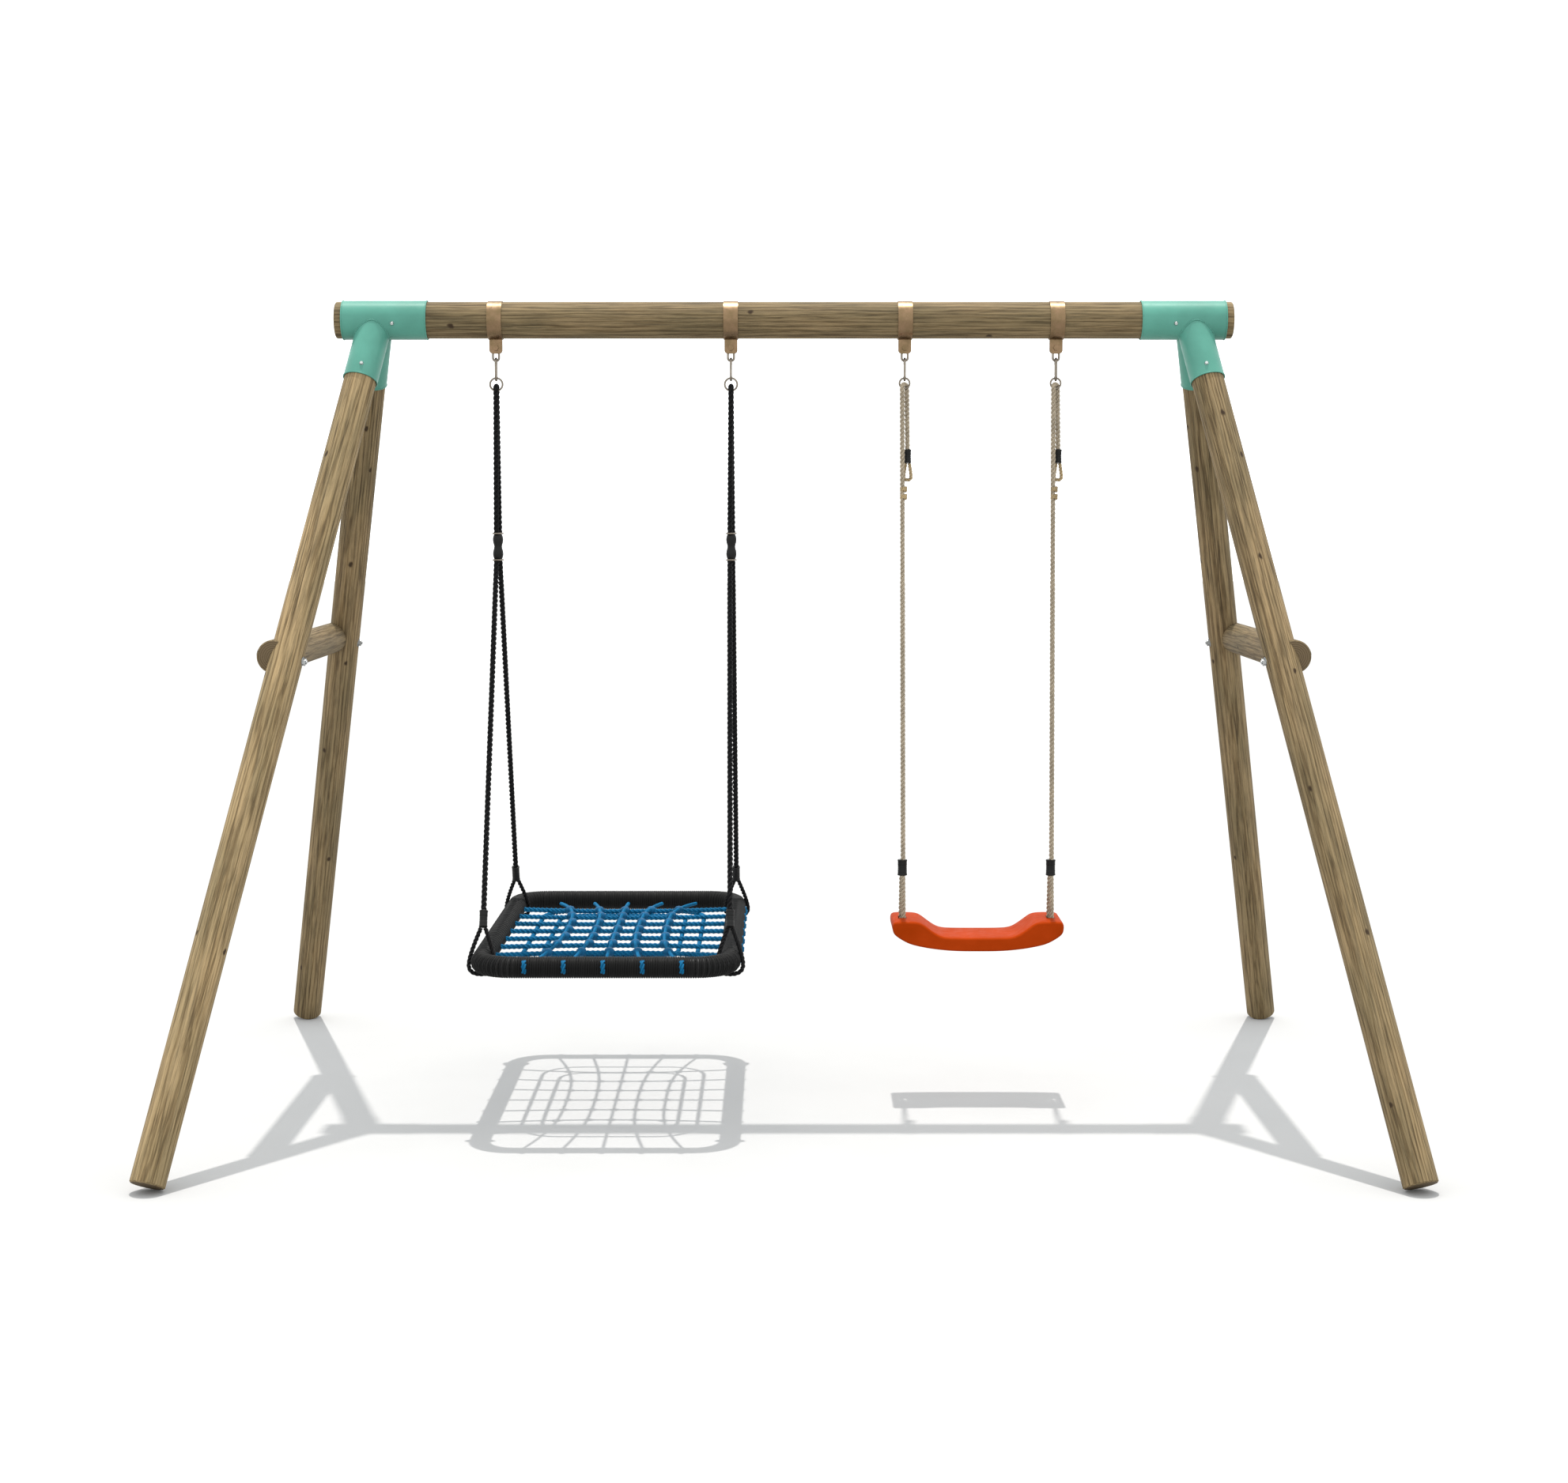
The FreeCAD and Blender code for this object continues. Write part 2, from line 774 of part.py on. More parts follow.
def make_clamp_bolts():
    bolts = []
    nuts = []
    outside = size("eye_wire") / 2 + size("band_wall")
    for hanger, x in HANGERS.items():
        centre = clamp_bolt_centre(x)
        front = centre - Vector(0, outside, 0)
        back = centre + Vector(0, outside, 0)
        head = hexagon(
            hanger + "_clamp_head", "sizes.clamp_head_width", "sizes.clamp_head_height",
            along(front, Vector(0, -1, 0)),
        )
        shank = cylinder(
            hanger + "_clamp_shank",
            "sizes.clamp_bolt_diameter / 2",
            "sizes.eye_wire + 2 * sizes.band_wall + sizes.clamp_head_height + 2",
            along(front, Vector(0, 1, 0)),
        )
        bolts.append(fuse(hanger + "_clamp_bolt", [head, shank]))
        nut = hexagon(
            hanger + "_clamp_nut_blank", "sizes.clamp_head_width", "sizes.clamp_head_height",
            along(back, Vector(0, 1, 0)),
        )
        bore = cylinder(
            hanger + "_clamp_nut_bore",
            "sizes.clamp_bolt_diameter / 2 + 0.05",
            "3 * sizes.clamp_head_height",
            along(back - Vector(0, size("clamp_head_height"), 0), Vector(0, 1, 0)),
        )
        nuts.append(cut(hanger + "_clamp_nut", nut, bore))
    group("clamp_bolts", bolts)
    group("clamp_nuts", nuts)


def eye_low():
    """Level of the lower wire of a hanger eye. The swings turn about this wire."""
    return size("beam_height") - size("eye_drop")


def long_link(name, wire, bend, straight, place):
    """An oblong link in its own XZ plane, centred on its lower bend: two bends, two sides."""
    parts = []
    for number, (level, turn) in enumerate(((0, 180), (straight, 0))):
        local = Placement(Vector(0, 0, level), Rotation(Vector(1, 0, 0), 90))
        spin = Placement(Vector(), Rotation(Vector(0, 0, 1), turn))
        parts.append(
            torus(f"{name}_bend_{number}", f"{bend}", wire, place * local * spin, sweep=180)
        )
    for sign in (-1, 1):
        local = Placement(Vector(sign * bend, 0, 0), Rotation())
        parts.append(cylinder(f"{name}_side_{sign + 1}", wire, f"{straight}", place * local))
    return parts


def make_hanger_eye(hanger, x):
    """An oblong wire eye, held on the clamp bolt between the two ears."""
    bend = (size("eye_width") - size("eye_wire")) / 2
    bolt = clamp_bolt_centre(x).z
    highest = bolt + size("clamp_bolt_diameter") / 2 + size("eye_wire") / 2 + size("cord_gap")
    straight = highest - eye_low() - 2 * bend
    place = Placement(Vector(x, 0, eye_low() + bend), Rotation())
    name = "hanger_eye_" + hanger
    parts = long_link(name + "_wire", "sizes.eye_wire / 2", bend, straight, place)
    keep(name, fuse(name + "_bent", parts))


def hook_top():
    """Level of a snap hook's upper wire, which rests on the eye's lower wire."""
    return eye_low() + (size("eye_wire") + size("hook_wire")) / 2 + size("link_clearance")


def hook_low():
    return hook_top() - size("hook_pitch")


def gate_base():
    """Level of the gate's pivot, above the hook's lower bend."""
    bend = (size("hook_width") - size("hook_wire")) / 2
    return hook_low() + bend + size("gate_wire") / 2 + size("link_clearance")


def make_snap_hook(hanger, x):
    """A snap hook in the YZ plane, open on its back side where the gate closes it."""
    bend = (size("hook_width") - size("hook_wire")) / 2
    straight = size("hook_pitch") - 2 * bend
    turned = Rotation(Vector(0, 0, 1), 90)
    place = Placement(Vector(x, 0, hook_low() + bend), turned)
    name = "snap_hook_" + hanger
    parts = long_link(name + "_wire", "sizes.hook_wire / 2", bend, straight, place)
    mouth = box(
        name + "_mouth",
        "2 * sizes.hook_wire",
        "2 * sizes.hook_wire",
        "sizes.gate_length + sizes.gate_wire / 2 + 2 * sizes.link_clearance",
        Vector(
            x,
            bend,
            gate_base() + (size("gate_length") - size("gate_wire") / 2) / 2,
        ),
    )
    keep(name, cut(name + "_open", fuse(name + "_loop", parts), mouth))


def make_gate(hanger, x):
    """The sprung gate: a pin that is rounded at its pivot end and flat at its latch end."""
    bend = (size("hook_width") - size("hook_wire")) / 2
    pivot = Vector(x, bend, gate_base())
    name = "gate_" + hanger
    pin = cylinder(
        name + "_pin", "sizes.gate_wire / 2", "sizes.gate_length", along(pivot, Vector(0, 0, 1))
    )
    ball = doc.addObject("Part::Sphere", name + "_ball")
    bind(ball, Radius="sizes.gate_wire / 2")
    ball.Placement = Placement(pivot, Rotation())
    keep(name, fuse(name + "_pinned", [pin, ball]))


def ring_size(hanger):
    kind = "net" if hanger.startswith("net") else "seat"
    return f"{kind}_ring_diameter"


def ring_centre(hanger, x):
    major = (size(ring_size(hanger)) - size("ring_wire")) / 2
    touching = (size("hook_wire") + size("ring_wire")) / 2 + size("link_clearance")
    return Vector(x, 0, hook_low() + touching - major)


def make_ring(hanger, x):
    alias = ring_size(hanger)
    piece = torus(
        "ring_" + hanger + "_wire",
        f"(sizes.{alias} - sizes.ring_wire) / 2",
        "sizes.ring_wire / 2",
        along(ring_centre(hanger, x), Vector(0, 1, 0)),
    )
    keep("ring_" + hanger, piece)


def rope_top(hanger, x, rope):
    """Level of a rope's axis where it passes over the ring's lower wire."""
    centre = ring_centre(hanger, x)
    major = (size(ring_size(hanger)) - size("ring_wire")) / 2
    touching = (size("ring_wire") + rope) / 2 + size("link_clearance")
    return centre.z - major + touching + size("rope_lift")


# Net swing


def net_centre():
    return Vector(size("net_swing_x"), 0, size("net_level"))


def rail_x(side):
    return size("net_swing_x") + side * size("net_half_x")


def hanging_rope_route(x):
    """Up from the adjuster, over the ring's lower wire and down again."""
    top = rope_top("net_left", x, size("black_rope"))
    beside = (size("ring_wire") + size("black_rope")) / 2 + size("link_clearance")
    turn_x = size("strand_turn_x")
    turn_y = size("strand_turn_y")
    low = size("adjuster_level") + size("adjuster_length") / 2
    straight = top - size("turn_run")
    points = [
        Vector(x - turn_x, -turn_y, low),
        Vector(x, -beside, straight),
        Vector(x, -beside, top),
        Vector(x, beside, top),
        Vector(x, beside, straight),
        Vector(x + turn_x, turn_y, low),
    ]
    return seat_ends(points, size("black_rope"))


def make_hanging_ropes():
    for side in (-1, 1):
        name = "hanging_rope_" + SIDE_NAMES[side]
        route = hanging_rope_route(HANGERS["net_" + SIDE_NAMES[side]])
        keep(name, rope_tube(name, route, size("black_rope")))


def make_adjuster(side):
    """A moulded rope adjuster, wide at both ends and narrow at its waist."""
    name = "rope_adjuster_" + SIDE_NAMES[side]
    x = HANGERS["net_" + SIDE_NAMES[side]]
    body = doc.addObject("PartDesign::Body", name + "_turned")
    sketch = new_sketch(body, "XZ_Plane", name + "_outline")
    half = size("adjuster_length") / 2
    wide = size("adjuster_diameter") / 2
    waist = size("adjuster_waist") / 2
    points = [
        Vector(0, -half, 0),
        Vector(wide * 0.95, -half, 0),
        Vector(wide, -half * 0.7, 0),
        Vector(wide, -half * 0.35, 0),
        Vector(waist, 0, 0),
        Vector(wide, half * 0.35, 0),
        Vector(wide, half * 0.7, 0),
        Vector(wide * 0.95, half, 0),
        Vector(0, half, 0),
    ]
    for start, finish in zip(points, points[1:] + points[:1]):
        sketch.addGeometry(Part.LineSegment(start, finish))
    turned = body.newObject("PartDesign::Revolution", name + "_revolved")
    turned.Profile = sketch
    turned.ReferenceAxis = (sketch, ["V_Axis"])
    turned.Angle = 360
    check_feature(turned, grows=True)
    body.Tip = turned
    body.Placement = Placement(Vector(x, 0, size("adjuster_level")), Rotation())
    keep(name, body)


def make_adjuster_collars():
    """An oval steel collar at each end of each adjuster, round the two strands."""
    collars = []
    bend = (size("black_rope") + size("collar_wire")) / 2 + size("link_clearance")
    for side in (-1, 1):
        for end in (-1, 1):
            flare = 0 if end > 0 else size("collar_wire") / 2
            spread = Vector(size("strand_turn_x"), size("strand_turn_y") + flare, 0)
            reach = size("adjuster_length") / 2 + size("collar_wire") / 2
            middle = Vector(
                HANGERS["net_" + SIDE_NAMES[side]], 0, size("adjuster_level") + end * reach
            )
            name = f"collar_{side + 1}_{end + 1}"
            level = Rotation(spread.cross(Vector(0, 0, 1)), Vector(0, 0, 1), spread, "ZXY")
            place = Placement(middle - spread, level)
            wire = "sizes.collar_wire / 2"
            parts = long_link(name + "_wire", wire, bend, 2 * spread.Length, place)
            collars.append(fuse(name, parts))
    group("adjuster_collars", collars)


def net_rope_line(side, end):
    """Where a net rope leaves its adjuster, and the point of the rail's axis that it hangs from."""
    x = HANGERS["net_" + SIDE_NAMES[side]]
    low = size("adjuster_level") - size("adjuster_length") / 2
    top = Vector(x + end * size("strand_turn_x"), end * size("strand_turn_y"), low)
    return top, Vector(rail_x(side), end * size("rope_anchor_y"), size("net_level"))


def rail_loop_route(side, end):
    """Down from the sleeve, under the rail and up again, in the plane of the rope."""
    top, rail = net_rope_line(side, end)
    up = (top - rail).normalize()
    across = Vector(1, 0, 0)
    beside = (size("winding_diameter") + size("loop_rope")) / 2 + 2 * size("link_clearance")
    neck = size("loop_rope") / 2 + size("cord_gap")
    sleeve_low = size("sleeve_reach") - size("rope_sleeve_length") / 2 - size("cord_gap")
    under = beside / up.z
    shoulder = size("loop_shoulder")
    steps = [
        (-neck, sleeve_low),
        (-beside, shoulder),
        (-beside, -under),
        (beside, -under),
        (beside, shoulder),
        (neck, sleeve_low),
    ]
    points = [rail + across * aside + up * height for aside, height in steps]
    return seat_ends(points, size("loop_rope"), up)


def make_net_ropes():
    sleeves = []
    loops = []
    for (side, end), leg in LEG_NAMES.items():
        name = leg.replace("leg", "net_rope")
        top, rail = net_rope_line(side, end)
        up = (top - rail).normalize()
        half = size("rope_sleeve_length") / 2
        foot = rail + up * (size("sleeve_reach") + half + size("cord_gap"))
        top = seated(top, foot, size("black_rope"), Vector(0, 0, 1))
        length = (top - foot).Length
        rope = cylinder(name + "_strand", "sizes.black_rope / 2", f"{length}", along(foot, up))
        keep(name, rope)
        print(f"{name}: {length:.0f} mm long, straight")
        sleeves.append(
            cylinder(
                name + "_sleeve",
                "sizes.sleeve_diameter / 2",
                "sizes.rope_sleeve_length",
                along(rail + up * (size("sleeve_reach") - half), up),
            )
        )
        loops.append(rope_tube(name + "_loop", rail_loop_route(side, end), size("loop_rope")))
    group("rope_sleeves", sleeves)
    group("rail_loops", loops)


def make_net_frame():
    """A bent steel tube, and the rope that is wound round it all the way."""
    half_x = Cell("net_half_x")
    half_y = Cell("net_half_y")
    corner = Cell("net_corner")
    tube = "sizes.frame_tube_diameter / 2"
    bar = rounded_ring("frame_bar", half_x, half_y, corner, tube, net_centre())
    hollow = rounded_ring(
        "frame_hollow", half_x, half_y, corner, tube + " - sizes.frame_tube_wall", net_centre()
    )
    keep("net_frame_tube", cut("frame_tube_hollowed", bar, hollow))
    wound = rounded_ring(
        "frame_wound", half_x, half_y, corner, "sizes.winding_diameter / 2", net_centre()
    )
    core = rounded_ring("frame_core", half_x, half_y, corner, tube, net_centre())
    keep("frame_winding", cut("frame_winding_hollowed", wound, core))


def lashing_reach():
    """How far a lashing's outer side stands from the rail's axis."""
    return size("winding_diameter") / 2 + size("net_cord") + 0.1


def anchor_gap(lift):
    """How far from a rail's axis a cord ends, at a level above it, beside the lashing."""
    underside = max(lift - size("net_cord") / 2, 0)
    return math.sqrt(lashing_reach() ** 2 - underside**2) + size("cord_gap")


def cross_cord_route(number):
    """From side rail to side rail, drawn in towards the middle of the net."""
    reach = size("net_half_x") - anchor_gap(0)
    at_rail = number * size("cross_pitch_rail")
    at_middle = number * size("cross_pitch_middle")
    return [
        net_centre() + Vector(-reach, at_rail, 0),
        net_centre() + Vector(0, at_middle, 0),
        net_centre() + Vector(reach, at_rail, 0),
    ]


def long_cord_route(number):
    """From the front rail to the back rail: flared at both ends and drawn in between."""
    lift = size("net_cord") + size("cord_gap")
    reach = size("net_half_y") - anchor_gap(lift)
    knee = size("long_knee_y")
    kind = "outer" if abs(number) == 2 else "inner"
    side = (number > 0) - (number < 0)
    at_rail = side * size(f"long_{kind}_rail")
    at_knee = side * size(f"long_{kind}_knee")
    at_middle = side * size(f"long_{kind}_middle")
    return [
        net_centre() + Vector(at_rail, -reach, lift),
        net_centre() + Vector(at_knee, -knee, lift),
        net_centre() + Vector(at_middle, 0, lift),
        net_centre() + Vector(at_knee, knee, lift),
        net_centre() + Vector(at_rail, reach, lift),
    ]


def net_cord_piece(name, route, straight):
    """A straight cord is a plain bar. A bowed cord is a tube along its route."""
    if not straight:
        return rope_tube(name, route, size("net_cord"))
    run = route[-1] - route[0]
    return cylinder(name, "sizes.net_cord / 2", f"{run.Length}", along(route[0], run))


def make_cross_cords():
    """Seven cords from side rail to side rail."""
    cords = [
        net_cord_piece(f"cross_cord_{number + 3}", cross_cord_route(number), number == 0)
        for number in range(-3, 4)
    ]
    group("net_cross_cords", cords)


def make_long_cords():
    """Five cords from the front rail to the back rail, over the cross cords."""
    cords = [
        net_cord_piece(f"long_cord_{number + 2}", long_cord_route(number), number == 0)
        for number in range(-2, 3)
    ]
    group("net_long_cords", cords)


def make_ring_cords():
    """Two closed cords that run round the net under the cross cords."""
    below = net_centre() - Vector(0, 0, size("net_cord") + size("cord_gap"))
    rings = [
        rounded_ring(
            f"ring_cord_{kind}",
            Cell(f"{kind}_ring_x"),
            Cell(f"{kind}_ring_y"),
            Cell(f"{kind}_ring_corner"),
            "sizes.net_cord / 2",
            below,
        )
        for kind in ("outer", "inner")
    ]
    group("net_ring_cords", rings)


def make_lashings():
    """Each cord's end is lashed round the frame: one turn at every anchor."""
    places = []
    for number in range(-3, 4):
        for side in (-1, 1):
            y = number * size("cross_pitch_rail")
            centre = net_centre() + Vector(side * size("net_half_x"), y, 0)
            places.append((centre, Vector(0, 1, 0)))
    for number in range(-2, 3):
        for end in (-1, 1):
            x = long_cord_route(number)[0].x
            rail = Vector(x, end * size("net_half_y"), size("net_level"))
            places.append((rail, Vector(1, 0, 0)))
    lashings = [
        torus(
            f"lashing_{number}",
            "(sizes.winding_diameter + sizes.net_cord) / 2 + 0.1",
            "sizes.net_cord / 2",
            along(centre, axis),
        )
        for number, (centre, axis) in enumerate(places)
    ]
    group("net_lashings", lashings)


# Seat swing


def seat_rope_route(x):
    """Up from the low ferrule, over the ring's lower wire and down to the top ferrule."""
    top = rope_top("seat_left", x, size("beige_rope"))
    beside = (size("ring_wire") + size("beige_rope")) / 2 + size("link_clearance")
    skew = size("loop_skew")
    low = size("low_ferrule_level") + size("low_ferrule_length") / 2
    high = size("top_ferrule_level") + size("top_ferrule_length") / 2
    straight = top - size("turn_run")
    points = [
        Vector(x + size("low_strand_x"), -size("low_strand_y"), low),
        Vector(x - skew, -beside, straight),
        Vector(x - skew, -beside, top),
        Vector(x + skew, beside, top),
        Vector(x + skew, beside, straight),
        Vector(x + size("top_ferrule_x"), size("top_ferrule_y"), high),
    ]
    return seat_ends(points, size("beige_rope"))


def lug_loop_route(x):
    """Down from the low ferrule, round the bar in the seat's lug and up again."""
    under = (size("lug_bar") + size("beige_rope")) / 2 + size("link_clearance")
    high = size("low_ferrule_level") - size("low_ferrule_length") / 2
    low = size("lug_bar_level") - under
    skew = 2 * size("low_strand_x")
    straight = low + size("turn_run")
    points = [
        Vector(x + size("low_strand_x"), -size("low_strand_y"), high),
        Vector(x + skew, -under, straight),
        Vector(x + skew, -under, low),
        Vector(x - skew, under, low),
        Vector(x - skew, under, straight),
        Vector(x - size("low_strand_x"), size("low_strand_y"), high),
    ]
    return seat_ends(points, size("beige_rope"))


def make_seat_ropes():
    for side in (-1, 1):
        hanger = "seat_" + SIDE_NAMES[side]
        x = HANGERS[hanger]
        rope = "seat_rope_" + SIDE_NAMES[side]
        keep(rope, rope_tube(rope, seat_rope_route(x), size("beige_rope")))
        loop = "lug_loop_" + SIDE_NAMES[side]
        keep(loop, rope_tube(loop, lug_loop_route(x), size("beige_rope")))


def make_ferrules():
    """Pressed black ferrules: one on each rope's end, one above each lug loop."""
    top = []
    low = []
    for side in (-1, 1):
        x = HANGERS["seat_" + SIDE_NAMES[side]]
        base = size("top_ferrule_level") - size("top_ferrule_length") / 2
        place = Vector(x + size("top_ferrule_x"), size("top_ferrule_y"), base)
        top.append(
            cylinder(
                f"top_ferrule_{side + 1}",
                "sizes.top_ferrule_diameter / 2",
                "sizes.top_ferrule_length",
                Placement(place, Rotation()),
            )
        )
        base = size("low_ferrule_level") - size("low_ferrule_length") / 2
        low.append(
            cylinder(
                f"low_ferrule_{side + 1}",
                "sizes.low_ferrule_diameter / 2",
                "sizes.low_ferrule_length",
                Placement(Vector(x, 0, base), Rotation()),
            )
        )
    group("top_ferrules", top)
    group("low_ferrules", low)


def rope_eye_route(x):
    """A teardrop that hangs from the top ferrule."""
    wire = size("rope_eye_wire")
    neck = wire / 2 + size("cord_gap")
    wide = size("rope_eye_width") / 2
    high = size("top_ferrule_level") - size("top_ferrule_length") / 2
    low = high - size("rope_eye_length") + wire / 2
    middle = Vector(x + size("top_ferrule_x"), size("top_ferrule_y"), 0)
    points = [
        middle + Vector(-neck, 0, high),
        middle + Vector(-wide, 0, low),
        middle + Vector(wide, 0, low),
        middle + Vector(neck, 0, high),
    ]
    return seat_ends(points, wire)


def make_rope_eyes():
    eyes = [
        rope_tube(
            f"rope_eye_{SIDE_NAMES[side]}",
            rope_eye_route(HANGERS["seat_" + SIDE_NAMES[side]]),
            size("rope_eye_wire"),
        )
        for side in (-1, 1)
    ]
    group("rope_eyes", eyes)


def make_knots():
    """A stopper knot on each seat rope, below its eye."""
    knots = []
    for side in (-1, 1):
        x = HANGERS["seat_" + SIDE_NAMES[side]]
        start, finish = seat_rope_route(x)[:2]
        share = (size("knot_level") - start.z) / (finish.z - start.z)
        centre = start + (finish - start) * share
        knot = doc.addObject("Part::Ellipsoid", f"knot_blank_{side + 1}")
        bind(
            knot,
            Radius1="sizes.knot_length / 2",
            Radius2="sizes.knot_diameter / 2",
            Radius3="sizes.knot_diameter / 2",
        )
        knot.Placement = Placement(centre, Rotation())
        bore = cylinder(
            f"knot_bore_{side + 1}",
            "sizes.beige_rope / 2 + 0.1",
            f"{(finish - start).Length}",
            along(start, finish - start),
        )
        knots.append(cut(f"knot_{side + 1}", knot, bore))
    group("rope_knots", knots)


def seat_outline():
    """Half the seat's outline, from the middle of its top to the middle of its bottom."""
    return [
        ("flat_half", "seat_middle"),
        ("slope_foot", "slope_foot_level"),
        ("lug_inner", "seat_top"),
        ("lug_outer", "seat_top"),
        ("end_half", "end_level"),
        ("end_low_half", "end_low_level"),
        ("curve_half", "curve_level"),
        ("keel_half", "keel_level"),
    ]


def make_swing_seat():
    """A moulded seat with a raised lug at each end, each with a slot and a cross bar."""
    body = doc.addObject("PartDesign::Body", "seat_moulding")
    sketch = new_sketch(body, "XZ_Plane", "seat_outline")
    right = [(alias, level, 1) for alias, level in seat_outline()]
    left = [(alias, level, -1) for alias, level in reversed(seat_outline())]
    bottom = [("keel_half", "seat_bottom", 0)]
    outline = right + bottom + left
    corners = [
        Vector(sign * size(alias), size(level), 0) for alias, level, sign in outline
    ]
    for start, finish in zip(corners, corners[1:] + corners[:1]):
        sketch.addGeometry(Part.LineSegment(start, finish))
    count = len(corners)
    for line in range(count):
        sketch.addConstraint(Sketcher.Constraint("Coincident", line, 2, (line + 1) % count, 1))
    for line, (alias, level, sign) in enumerate(outline):
        index = sketch.addConstraint(
            Sketcher.Constraint("DistanceY", -1, 1, line, 1, size(level))
        )
        sketch.renameConstraint(index, f"level_{line}")
        sketch.setExpression(f"Constraints.level_{line}", f"sizes.{level}")
        if sign == 0:
            sketch.addConstraint(Sketcher.Constraint("PointOnObject", line, 1, -2))
            continue
        ends = (-1, 1, line, 1) if sign > 0 else (line, 1, -1, 1)
        index = sketch.addConstraint(Sketcher.Constraint("DistanceX", *ends, size(alias)))
        sketch.renameConstraint(index, f"reach_{line}")
        sketch.setExpression(f"Constraints.reach_{line}", f"sizes.{alias}")
    pad = body.newObject("PartDesign::Pad", "seat_pad")
    pad.Profile = sketch
    pad.Midplane = True
    pad.setExpression("Length", "sizes.seat_depth")
    check_feature(pad, grows=True)
    depth = pad.Shape.BoundBox
    rims = [
        f"Edge{number}"
        for number, edge in enumerate(pad.Shape.Edges, start=1)
        if edge.BoundBox.YLength < 1e-6 and edge.BoundBox.YMin in (depth.YMin, depth.YMax)
    ]
    rounding = body.newObject("PartDesign::Fillet", "seat_edges")
    rounding.Base = (pad, rims)
    rounding.setExpression("Radius", "sizes.seat_edge_round")
    body.Tip = rounding
    body.Placement = Placement(Vector(size("seat_swing_x"), 0, 0), Rotation())
    slots = []
    bars = []
    for side in (-1, 1):
        x = HANGERS["seat_" + SIDE_NAMES[side]]
        middle = Vector(x, 0, size("seat_middle"))
        slots.append(
            box(
                f"seat_slot_{side + 1}",
                "sizes.slot_width",
                "sizes.slot_depth",
                "4 * (sizes.seat_top - sizes.seat_bottom)",
                middle,
            )
        )
        start = Vector(x - size("slot_width") / 2 - 1, 0, size("lug_bar_level"))
        bars.append(
            cylinder(
                f"seat_bar_{side + 1}",
                "sizes.lug_bar / 2",
                "sizes.slot_width + 2",
                along(start, Vector(1, 0, 0)),
            )
        )
    slotted = cut("seat_slotted", body, fuse("seat_slots", slots))
    keep("swing_seat", fuse("seat_with_bars", [slotted] + bars))


def make_a_frames():
    make_crossbeam()
    tools = {place: bolt_tools(name + "_bolt_tool", *place) for place, name in LEG_NAMES.items()}
    make_legs(tools)
    for side in (-1, 1):
        make_corner_bracket(side)
        make_brace(side, tools)
    make_bracket_screws()
    make_brace_bolts()


def make_hangers():
    for hanger, x in HANGERS.items():
        make_band_clamp(hanger, x)
        make_hanger_eye(hanger, x)
        make_snap_hook(hanger, x)
        make_gate(hanger, x)
        make_ring(hanger, x)
    make_clamp_bolts()


def make_net_swing():
    make_hanging_ropes()
    for side in (-1, 1):
        make_adjuster(side)
    make_adjuster_collars()
    make_net_ropes()
    make_net_frame()
    make_cross_cords()
    make_long_cords()
    make_ring_cords()
    make_lashings()


def make_seat_swing():
    make_seat_ropes()
    make_ferrules()
    make_rope_eyes()
    make_knots()
    make_swing_seat()


def check_and_write():
    doc.recompute()
    for piece in doc.Objects:
        if "Invalid" in piece.State or "Error" in piece.State:
            raise RuntimeError(f"{piece.Label} failed: {piece.State}")
    for label, piece in nodes.items():
        if piece.Shape.isNull() or not piece.Shape.isValid():
            raise RuntimeError(f"{label} has no valid shape")
    os.makedirs("parts", exist_ok=True)
    for label, piece in nodes.items():
        piece.Shape.exportStep(f"parts/{label}.step")
        solids = len(piece.Shape.Solids)
        print(f"{label}: {solids} solid{'s' if solids > 1 else ''}, {piece.Shape.Volume:.0f} mm3")
    print(f"{len(nodes)} nodes")


make_a_frames()
make_hangers()
make_net_swing()
make_seat_swing()
check_and_write()
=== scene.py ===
# %% [markdown]
# # A garden swing set
# Round timber poles, painted steel corner sleeves, a net swing with a wound frame and a moulded seat.
# The measured frame comes first. Every other piece is then made around it, in metres, in the same place.

# %% Load the measured frame
import math

import bmesh
import bpy
from mathutils import Matrix, Vector


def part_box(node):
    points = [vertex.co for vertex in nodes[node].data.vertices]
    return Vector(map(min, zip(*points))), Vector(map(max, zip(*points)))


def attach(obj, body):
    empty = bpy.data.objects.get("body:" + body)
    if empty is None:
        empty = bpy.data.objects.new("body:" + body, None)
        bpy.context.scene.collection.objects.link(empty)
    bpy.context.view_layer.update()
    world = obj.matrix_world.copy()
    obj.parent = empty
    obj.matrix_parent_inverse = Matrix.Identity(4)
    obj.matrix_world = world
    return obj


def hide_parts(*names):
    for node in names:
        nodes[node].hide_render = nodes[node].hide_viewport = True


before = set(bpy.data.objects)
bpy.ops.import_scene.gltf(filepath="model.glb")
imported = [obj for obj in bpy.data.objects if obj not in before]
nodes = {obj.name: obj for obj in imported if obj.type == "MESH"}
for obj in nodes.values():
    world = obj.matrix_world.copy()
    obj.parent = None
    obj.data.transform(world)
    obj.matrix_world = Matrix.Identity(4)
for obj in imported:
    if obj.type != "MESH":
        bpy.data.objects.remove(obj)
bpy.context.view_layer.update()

# %% [markdown]
# ## Camera, light and floor
# The camera stands at adult eye height, almost seven metres in front, and looks slightly down.
# A wide bright sky gives soft light from all round. A strong, nearly sharp sun from just behind
# the beam makes the tops of the poles bright and draws a pale shadow on the floor.
# The floor is much darker than white paint and the light is strong, so the floor still looks white,
# but it throws little light back up, and the undersides of the poles stay darker than their tops.

